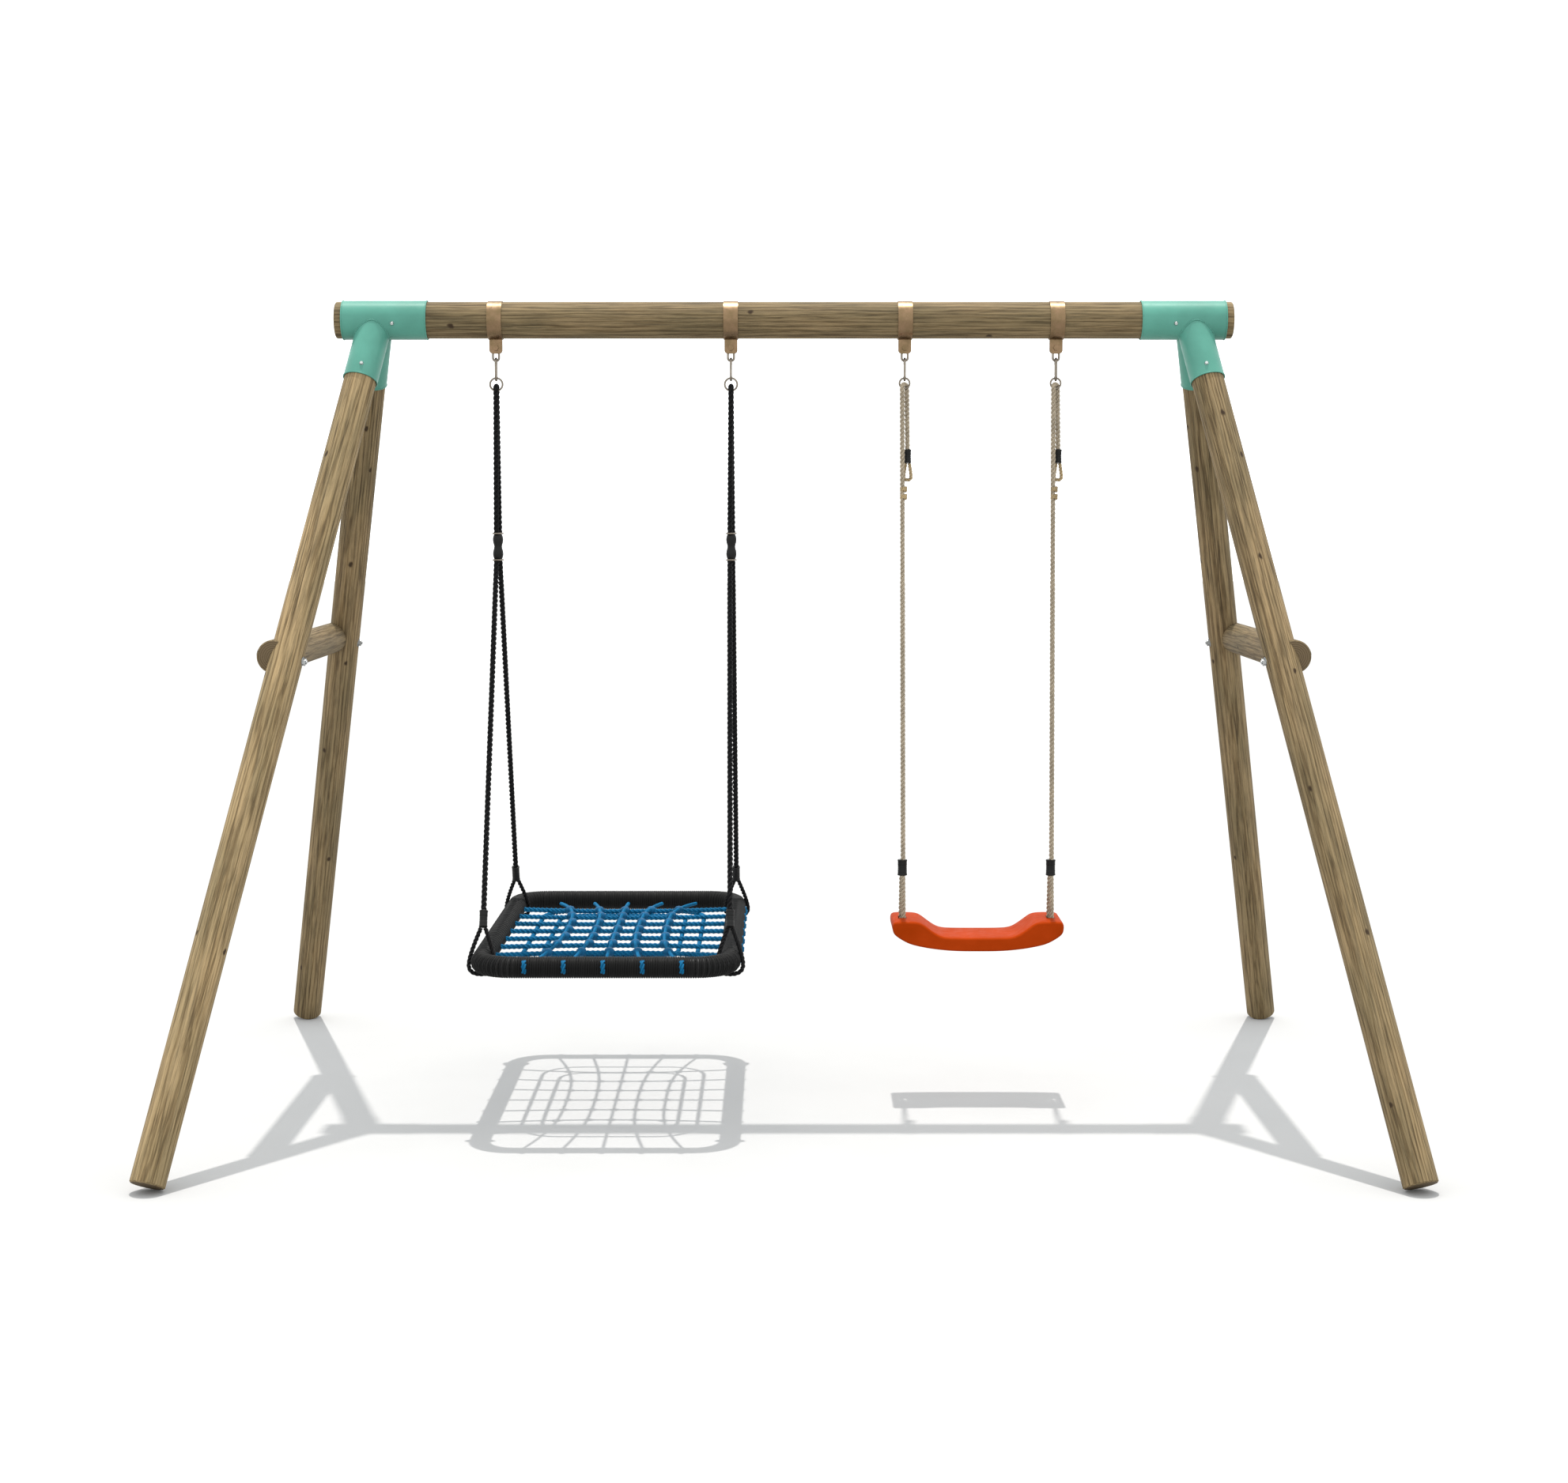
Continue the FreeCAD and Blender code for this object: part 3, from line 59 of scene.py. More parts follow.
# %% Camera, light and floor
CAMERA_PLACE = (0, -6.745, 1.6202)
CAMERA_TILT = math.radians(84.396)
CAMERA_LENS = 58.09
SKY_STRENGTH = 1.68
SKY_COLOR = (0.975, 0.995, 1.0)
SUN_COLOR = (1.0, 0.97, 0.93)
SUN_ANGLE = math.radians(0.9)
SUN_STRENGTH = 3.3
SUN_LEAN = math.atan(0.19)
FAR_AWAY = 200


def new_object(name, data):
    """A new object in the scene, at the origin, unturned and unscaled."""
    made = bpy.data.objects.new(name, data)
    bpy.context.scene.collection.objects.link(made)
    return made


def make_camera():
    camera = new_object("camera", bpy.data.cameras.new("camera"))
    camera.data.lens = CAMERA_LENS
    camera.data.clip_end = FAR_AWAY
    camera.location = CAMERA_PLACE
    camera.rotation_euler = (CAMERA_TILT, 0, 0)
    bpy.context.scene.camera = camera


def make_light():
    world = bpy.data.worlds.new("pale_sky")
    world.use_nodes = True
    background = world.node_tree.nodes["Background"]
    background.inputs["Color"].default_value = (*SKY_COLOR, 1)
    background.inputs["Strength"].default_value = SKY_STRENGTH
    bpy.context.scene.world = world
    sun = new_object("sun", bpy.data.lights.new("sun", "SUN"))
    sun.data.energy = SUN_STRENGTH
    sun.data.angle = SUN_ANGLE
    sun.data.color = SUN_COLOR
    sun.rotation_euler = (-SUN_LEAN, 0, 0)


make_camera()
make_light()
bpy.context.scene.view_settings.view_transform = "Standard"
print("camera", CAMERA_LENS, "mm lens")

# %% [markdown]
# ## Small helpers for materials
# A finish is a small graph of nodes. These helpers add one node at a time and wire it,
# so that each finish below reads as a short list of what the real surface has.

# %% Helpers for materials
def new_finish(name, color, roughness, metallic=0.0, specular=0.5):
    finish = bpy.data.materials.new(name)
    finish.use_nodes = True
    shader = finish.node_tree.nodes["Principled BSDF"]
    shader.inputs["Base Color"].default_value = (*color, 1)
    shader.inputs["Roughness"].default_value = roughness
    shader.inputs["Metallic"].default_value = metallic
    shader.inputs["Specular IOR Level"].default_value = specular
    return finish, finish.node_tree, shader


def add_node(tree, kind, inputs=None, **settings):
    """Adds a node, sets its properties, and wires or fills its inputs."""
    made = tree.nodes.new(kind)
    for name, value in settings.items():
        setattr(made, name, value)
    for name, value in (inputs or {}).items():
        if isinstance(value, bpy.types.NodeSocket):
            tree.links.new(value, made.inputs[name])
        else:
            made.inputs[name].default_value = value
    return made


def add(tree, kind, inputs=None, **settings):
    return add_node(tree, "ShaderNode" + kind, inputs, **settings)


def maths(tree, operation, first, second=0.0):
    return add(tree, "Math", {0: first, 1: second}, operation=operation).outputs[0]


def shades(tree, factor, stops):
    """A colour ramp. Each stop is a position and a colour or a grey level."""
    ramp = add(tree, "ValToRGB", {"Fac": factor})
    bands = ramp.color_ramp.elements
    while len(bands) < len(stops):
        bands.new(0.5)
    for band, (position, shade) in zip(bands, stops):
        band.position = position
        band.color = (*shade, 1) if hasattr(shade, "__len__") else (shade, shade, shade, 1)
    return ramp.outputs["Color"]


def blend(tree, factor, first, second, kind="MIX"):
    """Mixes two colours."""
    mix = add(tree, "Mix", data_type="RGBA", blend_type=kind)
    for socket, value in ((0, factor), (6, first), (7, second)):
        if isinstance(value, bpy.types.NodeSocket):
            tree.links.new(value, mix.inputs[socket])
        else:
            mix.inputs[socket].default_value = (*value, 1) if hasattr(value, "__len__") else value
    return mix.outputs[2]


def texture_noise(tree, vector, scale, detail=3.0, roughness=0.5):
    inputs = {"Vector": vector, "Scale": scale, "Detail": detail, "Roughness": roughness}
    return add(tree, "TexNoise", inputs).outputs["Fac"]


def stretched(tree, vector, scale):
    return add(tree, "Mapping", {"Vector": vector, "Scale": scale}).outputs["Vector"]


def object_place(tree):
    return add(tree, "TexCoord").outputs["Object"]


def raise_surface(tree, shader, height, strength, distance):
    """Makes the light fall as on a surface with this height, without moving the mesh."""
    bump = add(tree, "Bump", {"Height": height, "Strength": strength, "Distance": distance})
    tree.links.new(bump.outputs["Normal"], shader.inputs["Normal"])


print("material helpers ready")

# %% [markdown]
# ## Year rings and knots
# The poles are turned from whole softwood trunks. The year rings run lengthwise along a pole as
# long arches, because the saw line is never quite parallel to the heart. Plain noise pulled long
# gives fibres but no arches. A ring pattern around a heart that lies beside the pole's middle,
# pulled long and distorted, gives both the arches and their narrow and wide lines.
# Knots are sparse, so they come from the cells of a Voronoi pattern on the unrolled skin.

# %% Year rings and knots
POLE_RADIUS = 0.042
RING_SCALE = 105
KNOT_CELLS = 4.5
KNOT_SHARE = 0.55


def heart_lines(tree, pole_place, seed):
    """Long arches: rings about a heart beside the middle of the pole."""
    shift = (0.012 + 0.004 * math.sin(seed), 0.010 * math.cos(seed * 2.3), seed)
    squeezed = add(tree, "Mapping", {"Vector": pole_place, "Location": shift, "Scale": (1, 1, 0.05)})
    inputs = {
        "Vector": squeezed.outputs["Vector"],
        "Scale": RING_SCALE,
        "Distortion": 6,
        "Detail": 3,
        "Detail Scale": 0.9,
        "Phase Offset": seed,
    }
    wave = add(tree, "TexWave", inputs, wave_type="RINGS", rings_direction="Z", wave_profile="SIN")
    return wave.outputs["Fac"]


def knot_mask(tree, pole_place, seed):
    """White on a few knots, spread over the unrolled skin of the pole, and black elsewhere."""
    parts = add(tree, "SeparateXYZ", {0: pole_place})
    turn = maths(tree, "ARCTAN2", parts.outputs["Y"], parts.outputs["X"])
    across = maths(tree, "MULTIPLY", turn, POLE_RADIUS * 1.5)
    skin = add(tree, "CombineXYZ", {"X": across, "Y": parts.outputs["Z"], "Z": seed}).outputs[0]
    ripple = add(tree, "TexNoise", {"Vector": skin, "Scale": 30}).outputs["Color"]
    bent = add(tree, "VectorMath", {0: ripple, 1: (0.02, 0.02, 0)}, operation="MULTIPLY").outputs[0]
    skin = add(tree, "VectorMath", {0: skin, 1: bent}, operation="ADD").outputs[0]
    inputs = {"Vector": skin, "Scale": KNOT_CELLS, "Randomness": 1.0}
    cells = add(tree, "TexVoronoi", inputs, voronoi_dimensions="2D")
    near = shades(tree, cells.outputs["Distance"], [(0.0, 1.0), (0.022, 1.0), (0.048, 0.0)])
    draw = add(tree, "SeparateColor", {0: cells.outputs["Color"]}).outputs[0]
    chosen = maths(tree, "GREATER_THAN", draw, 1 - KNOT_SHARE)
    return maths(tree, "MULTIPLY", near, chosen)


print("rings and knots for poles of", POLE_RADIUS, "m radius")

# %% [markdown]
# ## The timber finish
# Pressure treatment leaves the wood a greenish straw brown. The finish is laid up in the order in
# which the real one comes about: the lines of the rings, the fine fibres, wide weathered clouds,
# the knots, a few drying cracks, and last the sawn ends, where the rings show as circles.
# One finish for all poles would repeat its knots, so each pole gets its own, about its own middle.

# %% The timber finish
TIMBER_LIGHT = (0.212, 0.156, 0.085)
TIMBER_MIDDLE = (0.172, 0.124, 0.064)
TIMBER_DARK = (0.112, 0.077, 0.038)
TIMBER_KNOT = (0.026, 0.014, 0.006)
END_GRAIN_DARK = (0.085, 0.058, 0.030)
END_GRAIN_LIGHT = (0.135, 0.098, 0.055)
FIBRE_SCALE = 210
CLOUD_SCALE = 16
CRACK_SCALE = 55
CRACKED_PARTS_SCALE = 9
END_RING_SCALE = 60
SAWN_IF_ABOVE = 0.8


def timber(name, start, direction, seed, tone):
    """A finish whose grain runs along one pole. The tone makes one pole paler than another."""
    finish, tree, shader = new_finish(name, TIMBER_MIDDLE, 0.72, specular=0.18)
    turn = Vector((0, 0, 1)).rotation_difference(Vector(direction)).to_euler()
    centred = {"Vector": object_place(tree), "Location": start, "Rotation": turn}
    pole_place = add(tree, "Mapping", centred, vector_type="TEXTURE").outputs["Vector"]
    long_place = stretched(tree, pole_place, (1, 1, 0.035))
    lines = heart_lines(tree, pole_place, seed)
    fibres = texture_noise(tree, long_place, FIBRE_SCALE, 5, 0.75)
    clouds = texture_noise(tree, stretched(tree, pole_place, (1, 1, 0.25)), CLOUD_SCALE, 3)
    ring_shades = [(0.0, TIMBER_DARK), (0.16, TIMBER_MIDDLE), (0.75, TIMBER_LIGHT), (1.0, TIMBER_LIGHT)]
    color = shades(tree, lines, ring_shades)
    fibre_shade = shades(tree, fibres, [(0.36, 0.42), (0.58, 1.20)])
    color = blend(tree, 0.85, color, fibre_shade, "MULTIPLY")
    low_cloud = tuple(tone * part for part in (0.78, 0.80, 0.76))
    high_cloud = tuple(tone * part for part in (1.16, 1.12, 1.06))
    cloud_shade = shades(tree, clouds, [(0.30, low_cloud), (0.70, high_cloud)])
    color = blend(tree, 1.0, color, cloud_shade, "MULTIPLY")
    knots = knot_mask(tree, pole_place, seed)
    color = blend(tree, maths(tree, "MULTIPLY", knots, 0.95), color, TIMBER_KNOT)
    split = texture_noise(tree, stretched(tree, pole_place, (1, 1, 0.012)), CRACK_SCALE, 1)
    crack = shades(tree, split, [(0.490, 0.0), (0.499, 1.0), (0.503, 1.0), (0.512, 0.0)])
    parts = texture_noise(tree, stretched(tree, pole_place, (1, 1, 0.2)), CRACKED_PARTS_SCALE, 1)
    crack = maths(tree, "MULTIPLY", crack, shades(tree, parts, [(0.55, 0.0), (0.62, 1.0)]))
    color = blend(tree, maths(tree, "MULTIPLY", crack, 0.75), color, TIMBER_KNOT)
    facing = add(tree, "TexCoord").outputs["Normal"]
    along = add(tree, "VectorMath", {0: facing, 1: direction}, operation="DOT_PRODUCT").outputs["Value"]
    sawn = maths(tree, "GREATER_THAN", maths(tree, "ABSOLUTE", along), SAWN_IF_ABOVE)
    inputs = {"Vector": pole_place, "Scale": END_RING_SCALE, "Distortion": 1.5}
    end_lines = add(tree, "TexWave", inputs, wave_type="RINGS", rings_direction="Z").outputs["Fac"]
    end_color = shades(tree, end_lines, [(0.0, END_GRAIN_DARK), (1.0, END_GRAIN_LIGHT)])
    color = blend(tree, sawn, color, end_color)
    tree.links.new(color, shader.inputs["Base Color"])
    height = maths(tree, "ADD", maths(tree, "MULTIPLY", lines, 0.35), maths(tree, "MULTIPLY", fibres, 0.5))
    height = maths(tree, "SUBTRACT", height, crack)
    raise_surface(tree, shader, height, 0.55, 0.0012)
    return finish


print("timber with fibres at", FIBRE_SCALE, "per metre")

# %% [markdown]
# ## Timber on the poles
# The grain has to run along each pole, so each finish is told the pole's middle, from its box, and
# its slope. No two poles come out of the treatment alike: a tone makes some paler than others.

# %% Timber on the poles
LEG_SLOPE = Vector((0.1748, 0.4287, -0.8864))


def leg_slope(side, end):
    """The way down a leg: side is -1 on the left and 1 on the right, end -1 in front and 1 behind."""
    return Vector((side * LEG_SLOPE.x, end * LEG_SLOPE.y, LEG_SLOPE.z))


POLE_SLOPES = {
    "crossbeam": (1, 0, 0),
    "brace_left": (0, 1, 0),
    "brace_right": (0, 1, 0),
    "leg_front_left": leg_slope(-1, -1),
    "leg_front_right": leg_slope(1, -1),
    "leg_back_left": leg_slope(-1, 1),
    "leg_back_right": leg_slope(1, 1),
}
POLE_TONES = {"crossbeam": 0.84, "leg_front_left": 1.26, "leg_front_right": 0.98,
              "brace_left": 0.78, "brace_right": 0.78}
USUAL_TONE = 0.95


def finish_node(name, finish):
    """Gives a measured part its finish, in every slot it has."""
    mesh = nodes[name].data
    if not mesh.materials:
        mesh.materials.append(finish)
    for index in range(len(mesh.materials)):
        mesh.materials[index] = finish


for number, (pole, slope) in enumerate(POLE_SLOPES.items()):
    low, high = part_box(pole)
    seed = 1.7 * number + 0.6
    tone = POLE_TONES.get(pole, USUAL_TONE)
    direction = Vector(slope).normalized()
    finish_node(pole, timber("timber_" + pole, (low + high) / 2, direction, seed, tone))
print("timber on", len(POLE_SLOPES), "poles")

# %% [markdown]
# ## Paint, plated steel and plastics
# The corner sleeves have a satin mint coat. The beam clamps are zinc plated and passivated yellow,
# and the links are plain bright zinc. Plating is never even, so its tint and its gloss both wander.
# Moulded plastic has a very fine grain from the mould and a soft shine. One rule with other
# numbers makes every paint and plastic, and a second one makes every plating.

# %% Paint, plated steel and plastics
def coat(name, color, roughness, speck, depth, specular):
    """Paint or plastic: an even colour that wanders a little, over a fine pebbled skin."""
    finish, tree, shader = new_finish(name, color, roughness, specular=specular)
    place = object_place(tree)
    darker = tuple(0.86 * part for part in color)
    paler = tuple(min(1.12 * part + 0.002, 1) for part in color)
    wander = texture_noise(tree, place, 9, 4)
    tree.links.new(shades(tree, wander, [(0.3, darker), (0.7, paler)]), shader.inputs["Base Color"])
    patches = texture_noise(tree, place, 60, 3)
    rough = shades(tree, patches, [(0.3, roughness - 0.06), (0.7, roughness + 0.08)])
    tree.links.new(rough, shader.inputs["Roughness"])
    raise_surface(tree, shader, texture_noise(tree, place, speck, 2), depth, 0.0004)
    return finish


def plated(name, color, tint, roughness, grain=130):
    """Plated steel: two tints that run into each other, and a gloss that wanders with them."""
    finish, tree, shader = new_finish(name, color, roughness, metallic=1.0)
    place = object_place(tree)
    wander = texture_noise(tree, place, 34, 5, 0.6)
    tree.links.new(shades(tree, wander, [(0.35, color), (0.65, tint)]), shader.inputs["Base Color"])
    fine = texture_noise(tree, place, grain, 3)
    rough = shades(tree, fine, [(0.3, roughness - 0.08), (0.7, roughness + 0.12)])
    tree.links.new(rough, shader.inputs["Roughness"])
    raise_surface(tree, shader, fine, 0.12, 0.0003)
    return finish


mint_coat = coat("mint_coat", (0.072, 0.245, 0.190), 0.38, 700, 0.10, 0.22)
black_moulding = coat("black_moulding", (0.006, 0.006, 0.006), 0.42, 900, 0.2, 0.16)
orange_moulding = coat("orange_moulding", (0.295, 0.030, 0.001), 0.50, 1100, 0.14, 0.012)
yellow_zinc = plated("yellow_zinc", (0.17, 0.118, 0.062), (0.23, 0.150, 0.088), 0.34)
bright_zinc = plated("bright_zinc", (0.17, 0.145, 0.115), (0.26, 0.225, 0.185), 0.30)
dull_zinc = plated("dull_zinc", (0.30, 0.31, 0.31), (0.40, 0.41, 0.41), 0.46, 300)
screw_zinc = plated("screw_zinc", (0.40, 0.43, 0.42), (0.50, 0.53, 0.52), 0.35)

NODE_FINISHES = {
    "corner_bracket_left": mint_coat,
    "corner_bracket_right": mint_coat,
    "bracket_screws": screw_zinc,
    "clamp_bolts": yellow_zinc,
    "clamp_nuts": yellow_zinc,
    "brace_bolts": dull_zinc,
    "brace_nuts": dull_zinc,
    "adjuster_collars": bright_zinc,
}
for hanger in ("net_left", "net_right", "seat_left", "seat_right"):
    NODE_FINISHES["beam_clamp_" + hanger] = yellow_zinc
    for part in ("hanger_eye_", "snap_hook_", "gate_", "ring_"):
        NODE_FINISHES[part + hanger] = bright_zinc
for name, finish in NODE_FINISHES.items():
    finish_node(name, finish)
print("finished", len(NODE_FINISHES), "steel parts")

# %% [markdown]
# ## Rope and cord finishes
# Rope yarn lies in fine slanting fibres. Fibres modelled one by one would be far too many, so they
# are a pattern. It follows each strand through its own map: one side of the map runs round the
# strand and the other along it, both in metres, so the fibres stay equally fine on every rope.

# %% Rope and cord finishes
FIBRE_SLANT = 0.9


def yarn(name, dark, light, roughness, fibre_scale, sheen=0.0):
    """A finish of slanting fibres between a dark and a light shade, worn in wide patches."""
    finish, tree, shader = new_finish(name, light, roughness, specular=0.12)
    shader.inputs["Sheen Weight"].default_value = sheen
    shader.inputs["Sheen Roughness"].default_value = 0.5
    skin = add(tree, "TexCoord").outputs["UV"]
    turned = add(tree, "Mapping", {"Vector": skin, "Rotation": (0, 0, FIBRE_SLANT)}).outputs["Vector"]
    inputs = {"Vector": turned, "Scale": fibre_scale, "Distortion": 2.5, "Detail": 3, "Detail Scale": 2}
    fibres = add(tree, "TexWave", inputs, wave_type="BANDS", bands_direction="X").outputs["Fac"]
    wear = texture_noise(tree, object_place(tree), 26, 4)
    color = shades(tree, fibres, [(0.05, dark), (0.6, light)])
    color = blend(tree, 0.6, color, shades(tree, wear, [(0.3, 0.72), (0.7, 1.2)]), "MULTIPLY")
    tree.links.new(color, shader.inputs["Base Color"])
    raise_surface(tree, shader, fibres, 0.6, 0.0006)
    return finish


black_yarn = yarn("black_yarn", (0.002, 0.002, 0.002), (0.010, 0.010, 0.011), 0.62, 190)
natural_yarn = yarn("natural_yarn", (0.230, 0.185, 0.128), (0.480, 0.405, 0.300), 0.85, 190, sheen=0.15)
golden_yarn = yarn("golden_yarn", (0.240, 0.170, 0.085), (0.500, 0.380, 0.215), 0.80, 190, sheen=0.1)
blue_yarn = yarn("blue_yarn", (0.001, 0.066, 0.155), (0.003, 0.162, 0.350), 0.55, 260)
frame_yarn = yarn("frame_yarn", (0.004, 0.004, 0.004), (0.017, 0.017, 0.017), 0.60, 240)
print("five yarns")

# %% [markdown]
# ## Pieces and smooth lines
# Every made piece is a plain mesh that rides on one body and takes its finish from one slot. A rope
# follows a smooth line. A line of many pasted points would look like bent wire, so each line
# comes from a short list of route points, which a spline rounds.

# %% Pieces and smooth lines
MM = 1000
SPLINE_STEPS = 40


def mesh_from(name, shape):
    """Turns a bmesh into a mesh whose faces point outwards and are shaded smooth."""
    bmesh.ops.recalc_face_normals(shape, faces=shape.faces)
    for face in shape.faces:
        face.smooth = True
    mesh = bpy.data.meshes.new(name)
    shape.to_mesh(mesh)
    shape.free()
    return mesh


def keep_piece(name, mesh, finish, body, replaced=()):
    """Turns a finished mesh into a named piece that rides on a body."""
    mesh.materials.clear()
    mesh.materials.append(finish)
    piece = new_object(name, mesh)
    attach(piece, body)
    if replaced:
        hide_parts(*replaced)
    return piece


def metres(*route):
    """Points given in millimetres."""
    return [Vector(point) / MM for point in route]


def smooth_line(name, route, closed=False):
    """The points of the smooth spline whose control points are the route's points."""
    curve = bpy.data.curves.new(name, "CURVE")
    curve.dimensions = "3D"
    curve.resolution_u = SPLINE_STEPS
    spline = curve.splines.new("NURBS")
    spline.points.add(len(route) - 1)
    for point, place in zip(spline.points, route):
        point.co = (*place, 1)
    spline.use_cyclic_u = closed
    spline.order_u = 3
    spline.use_endpoint_u = not closed
    holder = new_object(name, curve)
    bpy.context.view_layer.update()
    shape = holder.evaluated_get(bpy.context.evaluated_depsgraph_get())
    mesh = bpy.data.meshes.new_from_object(shape)
    line = [vertex.co.copy() for vertex in mesh.vertices]
    bpy.data.objects.remove(holder)
    bpy.data.meshes.remove(mesh)
    if closed:
        line.append(line[0].copy())
    return line


def length_of(line):
    return sum((after - before).length for before, after in zip(line, line[1:]))


def evenly(line, count):
    """The same line with count + 1 points at equal distances."""
    whole = length_of(line)
    places = []
    done = 0.0
    index = 0
    for number in range(count + 1):
        wanted = whole * number / count
        while index < len(line) - 2 and done + (line[index + 1] - line[index]).length < wanted:
            done += (line[index + 1] - line[index]).length
            index += 1
        run = line[index + 1] - line[index]
        share = (wanted - done) / run.length if run.length else 0
        places.append(line[index] + run * min(max(share, 0), 1))
    return places


print("smooth lines with", SPLINE_STEPS, "steps between route points")

# %% [markdown]
# ## Tubes and laid rope
# A rope could be one tube with a twisted pattern, but its outline would be straight. A real rope's
# edge is a row of bulges, so its three strands are three tubes that turn about the line.
# The rings of a tube never twist by themselves: their directions are carried along the line.

# %% Tubes and laid rope
def frames_along(line):
    """At each point: the place and two directions across the line, carried along without twist."""
    ahead = (line[1] - line[0]).normalized()
    side = ahead.orthogonal().normalized()
    frames = []
    for index, place in enumerate(line):
        before = line[max(index - 1, 0)]
        after = line[min(index + 1, len(line) - 1)]
        now = (after - before).normalized()
        side = (ahead.rotation_difference(now) @ side).normalized()
        side = (side - now * side.dot(now)).normalized()
        frames.append((place, side, now.cross(side)))
        ahead = now
    return frames


def bridge(shape, loops):
    """Faces between each loop of corners and the next one."""
    for low, high in zip(loops, loops[1:]):
        for corner in range(len(low)):
            following = (corner + 1) % len(low)
            shape.faces.new((low[corner], low[following], high[following], high[corner]))


def lay_tube(shape, rings, sides, along_step):
    """Adds a capped tube and its map. Each ring is a centre, two directions across and a radius."""
    skin = shape.loops.layers.uv.verify()
    loops = []
    for centre, side, other, radius in rings:
        corners = []
        for corner in range(sides):
            turn = 2 * math.pi * corner / sides
            place = centre + side * radius * math.cos(turn) + other * radius * math.sin(turn)
            corners.append(shape.verts.new(place))
        loops.append(corners)
    across = 2 * math.pi * rings[0][3] / sides
    for number, (low, high) in enumerate(zip(loops, loops[1:])):
        for corner in range(sides):
            following = (corner + 1) % sides
            face = shape.faces.new((low[corner], low[following], high[following], high[corner]))
            spread = ((corner, number), (corner + 1, number), (corner + 1, number + 1), (corner, number + 1))
            for loop, (u, v) in zip(face.loops, spread):
                loop[skin].uv = (u * across, v * along_step)
    shape.faces.new(reversed(loops[0]))
    shape.faces.new(loops[-1])


STRAND_OFFSET = 0.272
STRAND_RADIUS = 0.284
LAY_LENGTH = 2.8
STRANDS = 3


def lay_rope(shape, line, diameter, sides=8, steps_per_turn=10):
    """Adds a three-strand rope that follows a line."""
    turns = max(round(length_of(line) / (LAY_LENGTH * diameter)), 1)
    count = turns * steps_per_turn
    frames = frames_along(evenly(line, count))
    step = length_of(line) / count
    for strand in range(STRANDS):
        rings = []
        for number, (place, side, other) in enumerate(frames):
            turn = 2 * math.pi * (number / steps_per_turn + strand / STRANDS)
            out = side * math.cos(turn) + other * math.sin(turn)
            across = other * math.cos(turn) - side * math.sin(turn)
            rings.append((place + out * STRAND_OFFSET * diameter, out, across, STRAND_RADIUS * diameter))
        lay_tube(shape, rings, sides, step)


def rope_piece(name, lines, diameter, finish, body, replaced, sides=8, steps=10):
    """One piece of laid rope, along one line or several."""
    shape = bmesh.new()
    for line in lines:
        lay_rope(shape, line, diameter, sides, steps)
    return keep_piece(name, mesh_from(name, shape), finish, body, replaced)


def hang_rope(name, route, diameter, finish, body, slot, replaced):
    """A free rope on a smooth line, which prints its length."""
    line = smooth_line(name + "_line", route)
    piece = rope_piece(name, [line], diameter, finish, body, replaced)
    print(name, "is", round(length_of(line), 3), "m long")


print("ropes of", STRANDS, "strands")

# %% [markdown]
# ## The ropes of the net swing
# Each side of the net hangs on one black rope that is doubled over its ring and meets a moulded
# adjuster. Below it the rope divides and runs to the front and the back corner of the net, where
# a loop goes round the rail. A hanging rope under load is straight, so its route needs points
# only at its ends and where it turns.

# %% The ropes of the net swing
NET_ROPE = 0.014
LOOP_ROPE = 0.011
LOOP_REACH = 32.6
LOOP_TOP = (5.7, 83.7)
NET_HANGERS = {"left": -760, "right": -140}
NET_X = -450
RAIL_X = 314
RAIL_Z = 444
ANCHOR_Y = 430
ADJUSTER_LOW = 1446
ROPE_STRAIGHT = 0.215
ROPE_END = 0.1302
SIDES = ((-1, "left"), (1, "right"))
ENDS = ((-1, "front"), (1, "back"))


def hanging_route(x):
    return metres((x - 3.5, -6.2, 1512), (x, -9.8, 1880.3), (x, -9.8, 1901.3),
                  (x, 9.8, 1901.3), (x, 9.8, 1880.3), (x + 3.5, 6.2, 1512))


def net_rope_ends(side, end):
    """Where a rope leaves its adjuster, and the middle of the rail it goes to."""
    x = NET_HANGERS["left" if side < 0 else "right"]
    start = Vector((x + end * 3.5, end * 6.2, ADJUSTER_LOW)) / MM
    rail = Vector((NET_X + side * RAIL_X, end * ANCHOR_Y, RAIL_Z)) / MM
    return start, rail


def net_rope_route(side, end):
    start, rail = net_rope_ends(side, end)
    up = (start - rail).normalized()
    return [start, rail + up * ROPE_STRAIGHT, rail + up * ROPE_END]


def rail_loop_route(side, end):
    start, rail = net_rope_ends(side, end)
    up = (start - rail).normalized()
    under = LOOP_REACH / up.z
    half = [LOOP_TOP, (LOOP_REACH, 14), (LOOP_REACH, -under)]
    steps = [(-aside, height) for aside, height in half] + half[::-1]
    return [rail + (Vector((1, 0, 0)) * aside + up * height) / MM for aside, height in steps]


def hang_net_ropes():
    black = (black_yarn, "net_swing", "black_rope")
    for side_name, x in NET_HANGERS.items():
        name = "hanging_rope_" + side_name
        hang_rope("twisted_" + name, hanging_route(x), NET_ROPE, *black, [name])
    for side, side_name in SIDES:
        for end, end_name in ENDS:
            name = f"net_rope_{end_name}_{side_name}"
            hang_rope("twisted_" + name, net_rope_route(side, end), NET_ROPE, *black, [name])
            name = f"rail_loop_{end_name}_{side_name}"
            hang_rope(name, rail_loop_route(side, end), LOOP_ROPE, *black, ["rail_loops"])


hang_net_ropes()

# %% [markdown]
# ## The ropes of the seat
# Beige rope, doubled over a ring at the top. One strand goes down to a moulded ferrule over the
# seat, and the other ends in a spliced eye under a second ferrule. A short loop under the lower
# ferrule goes round a moulded bar in the seat. These are three ropes on each side, because each
# disappears in a ferrule, where the real one is clamped.

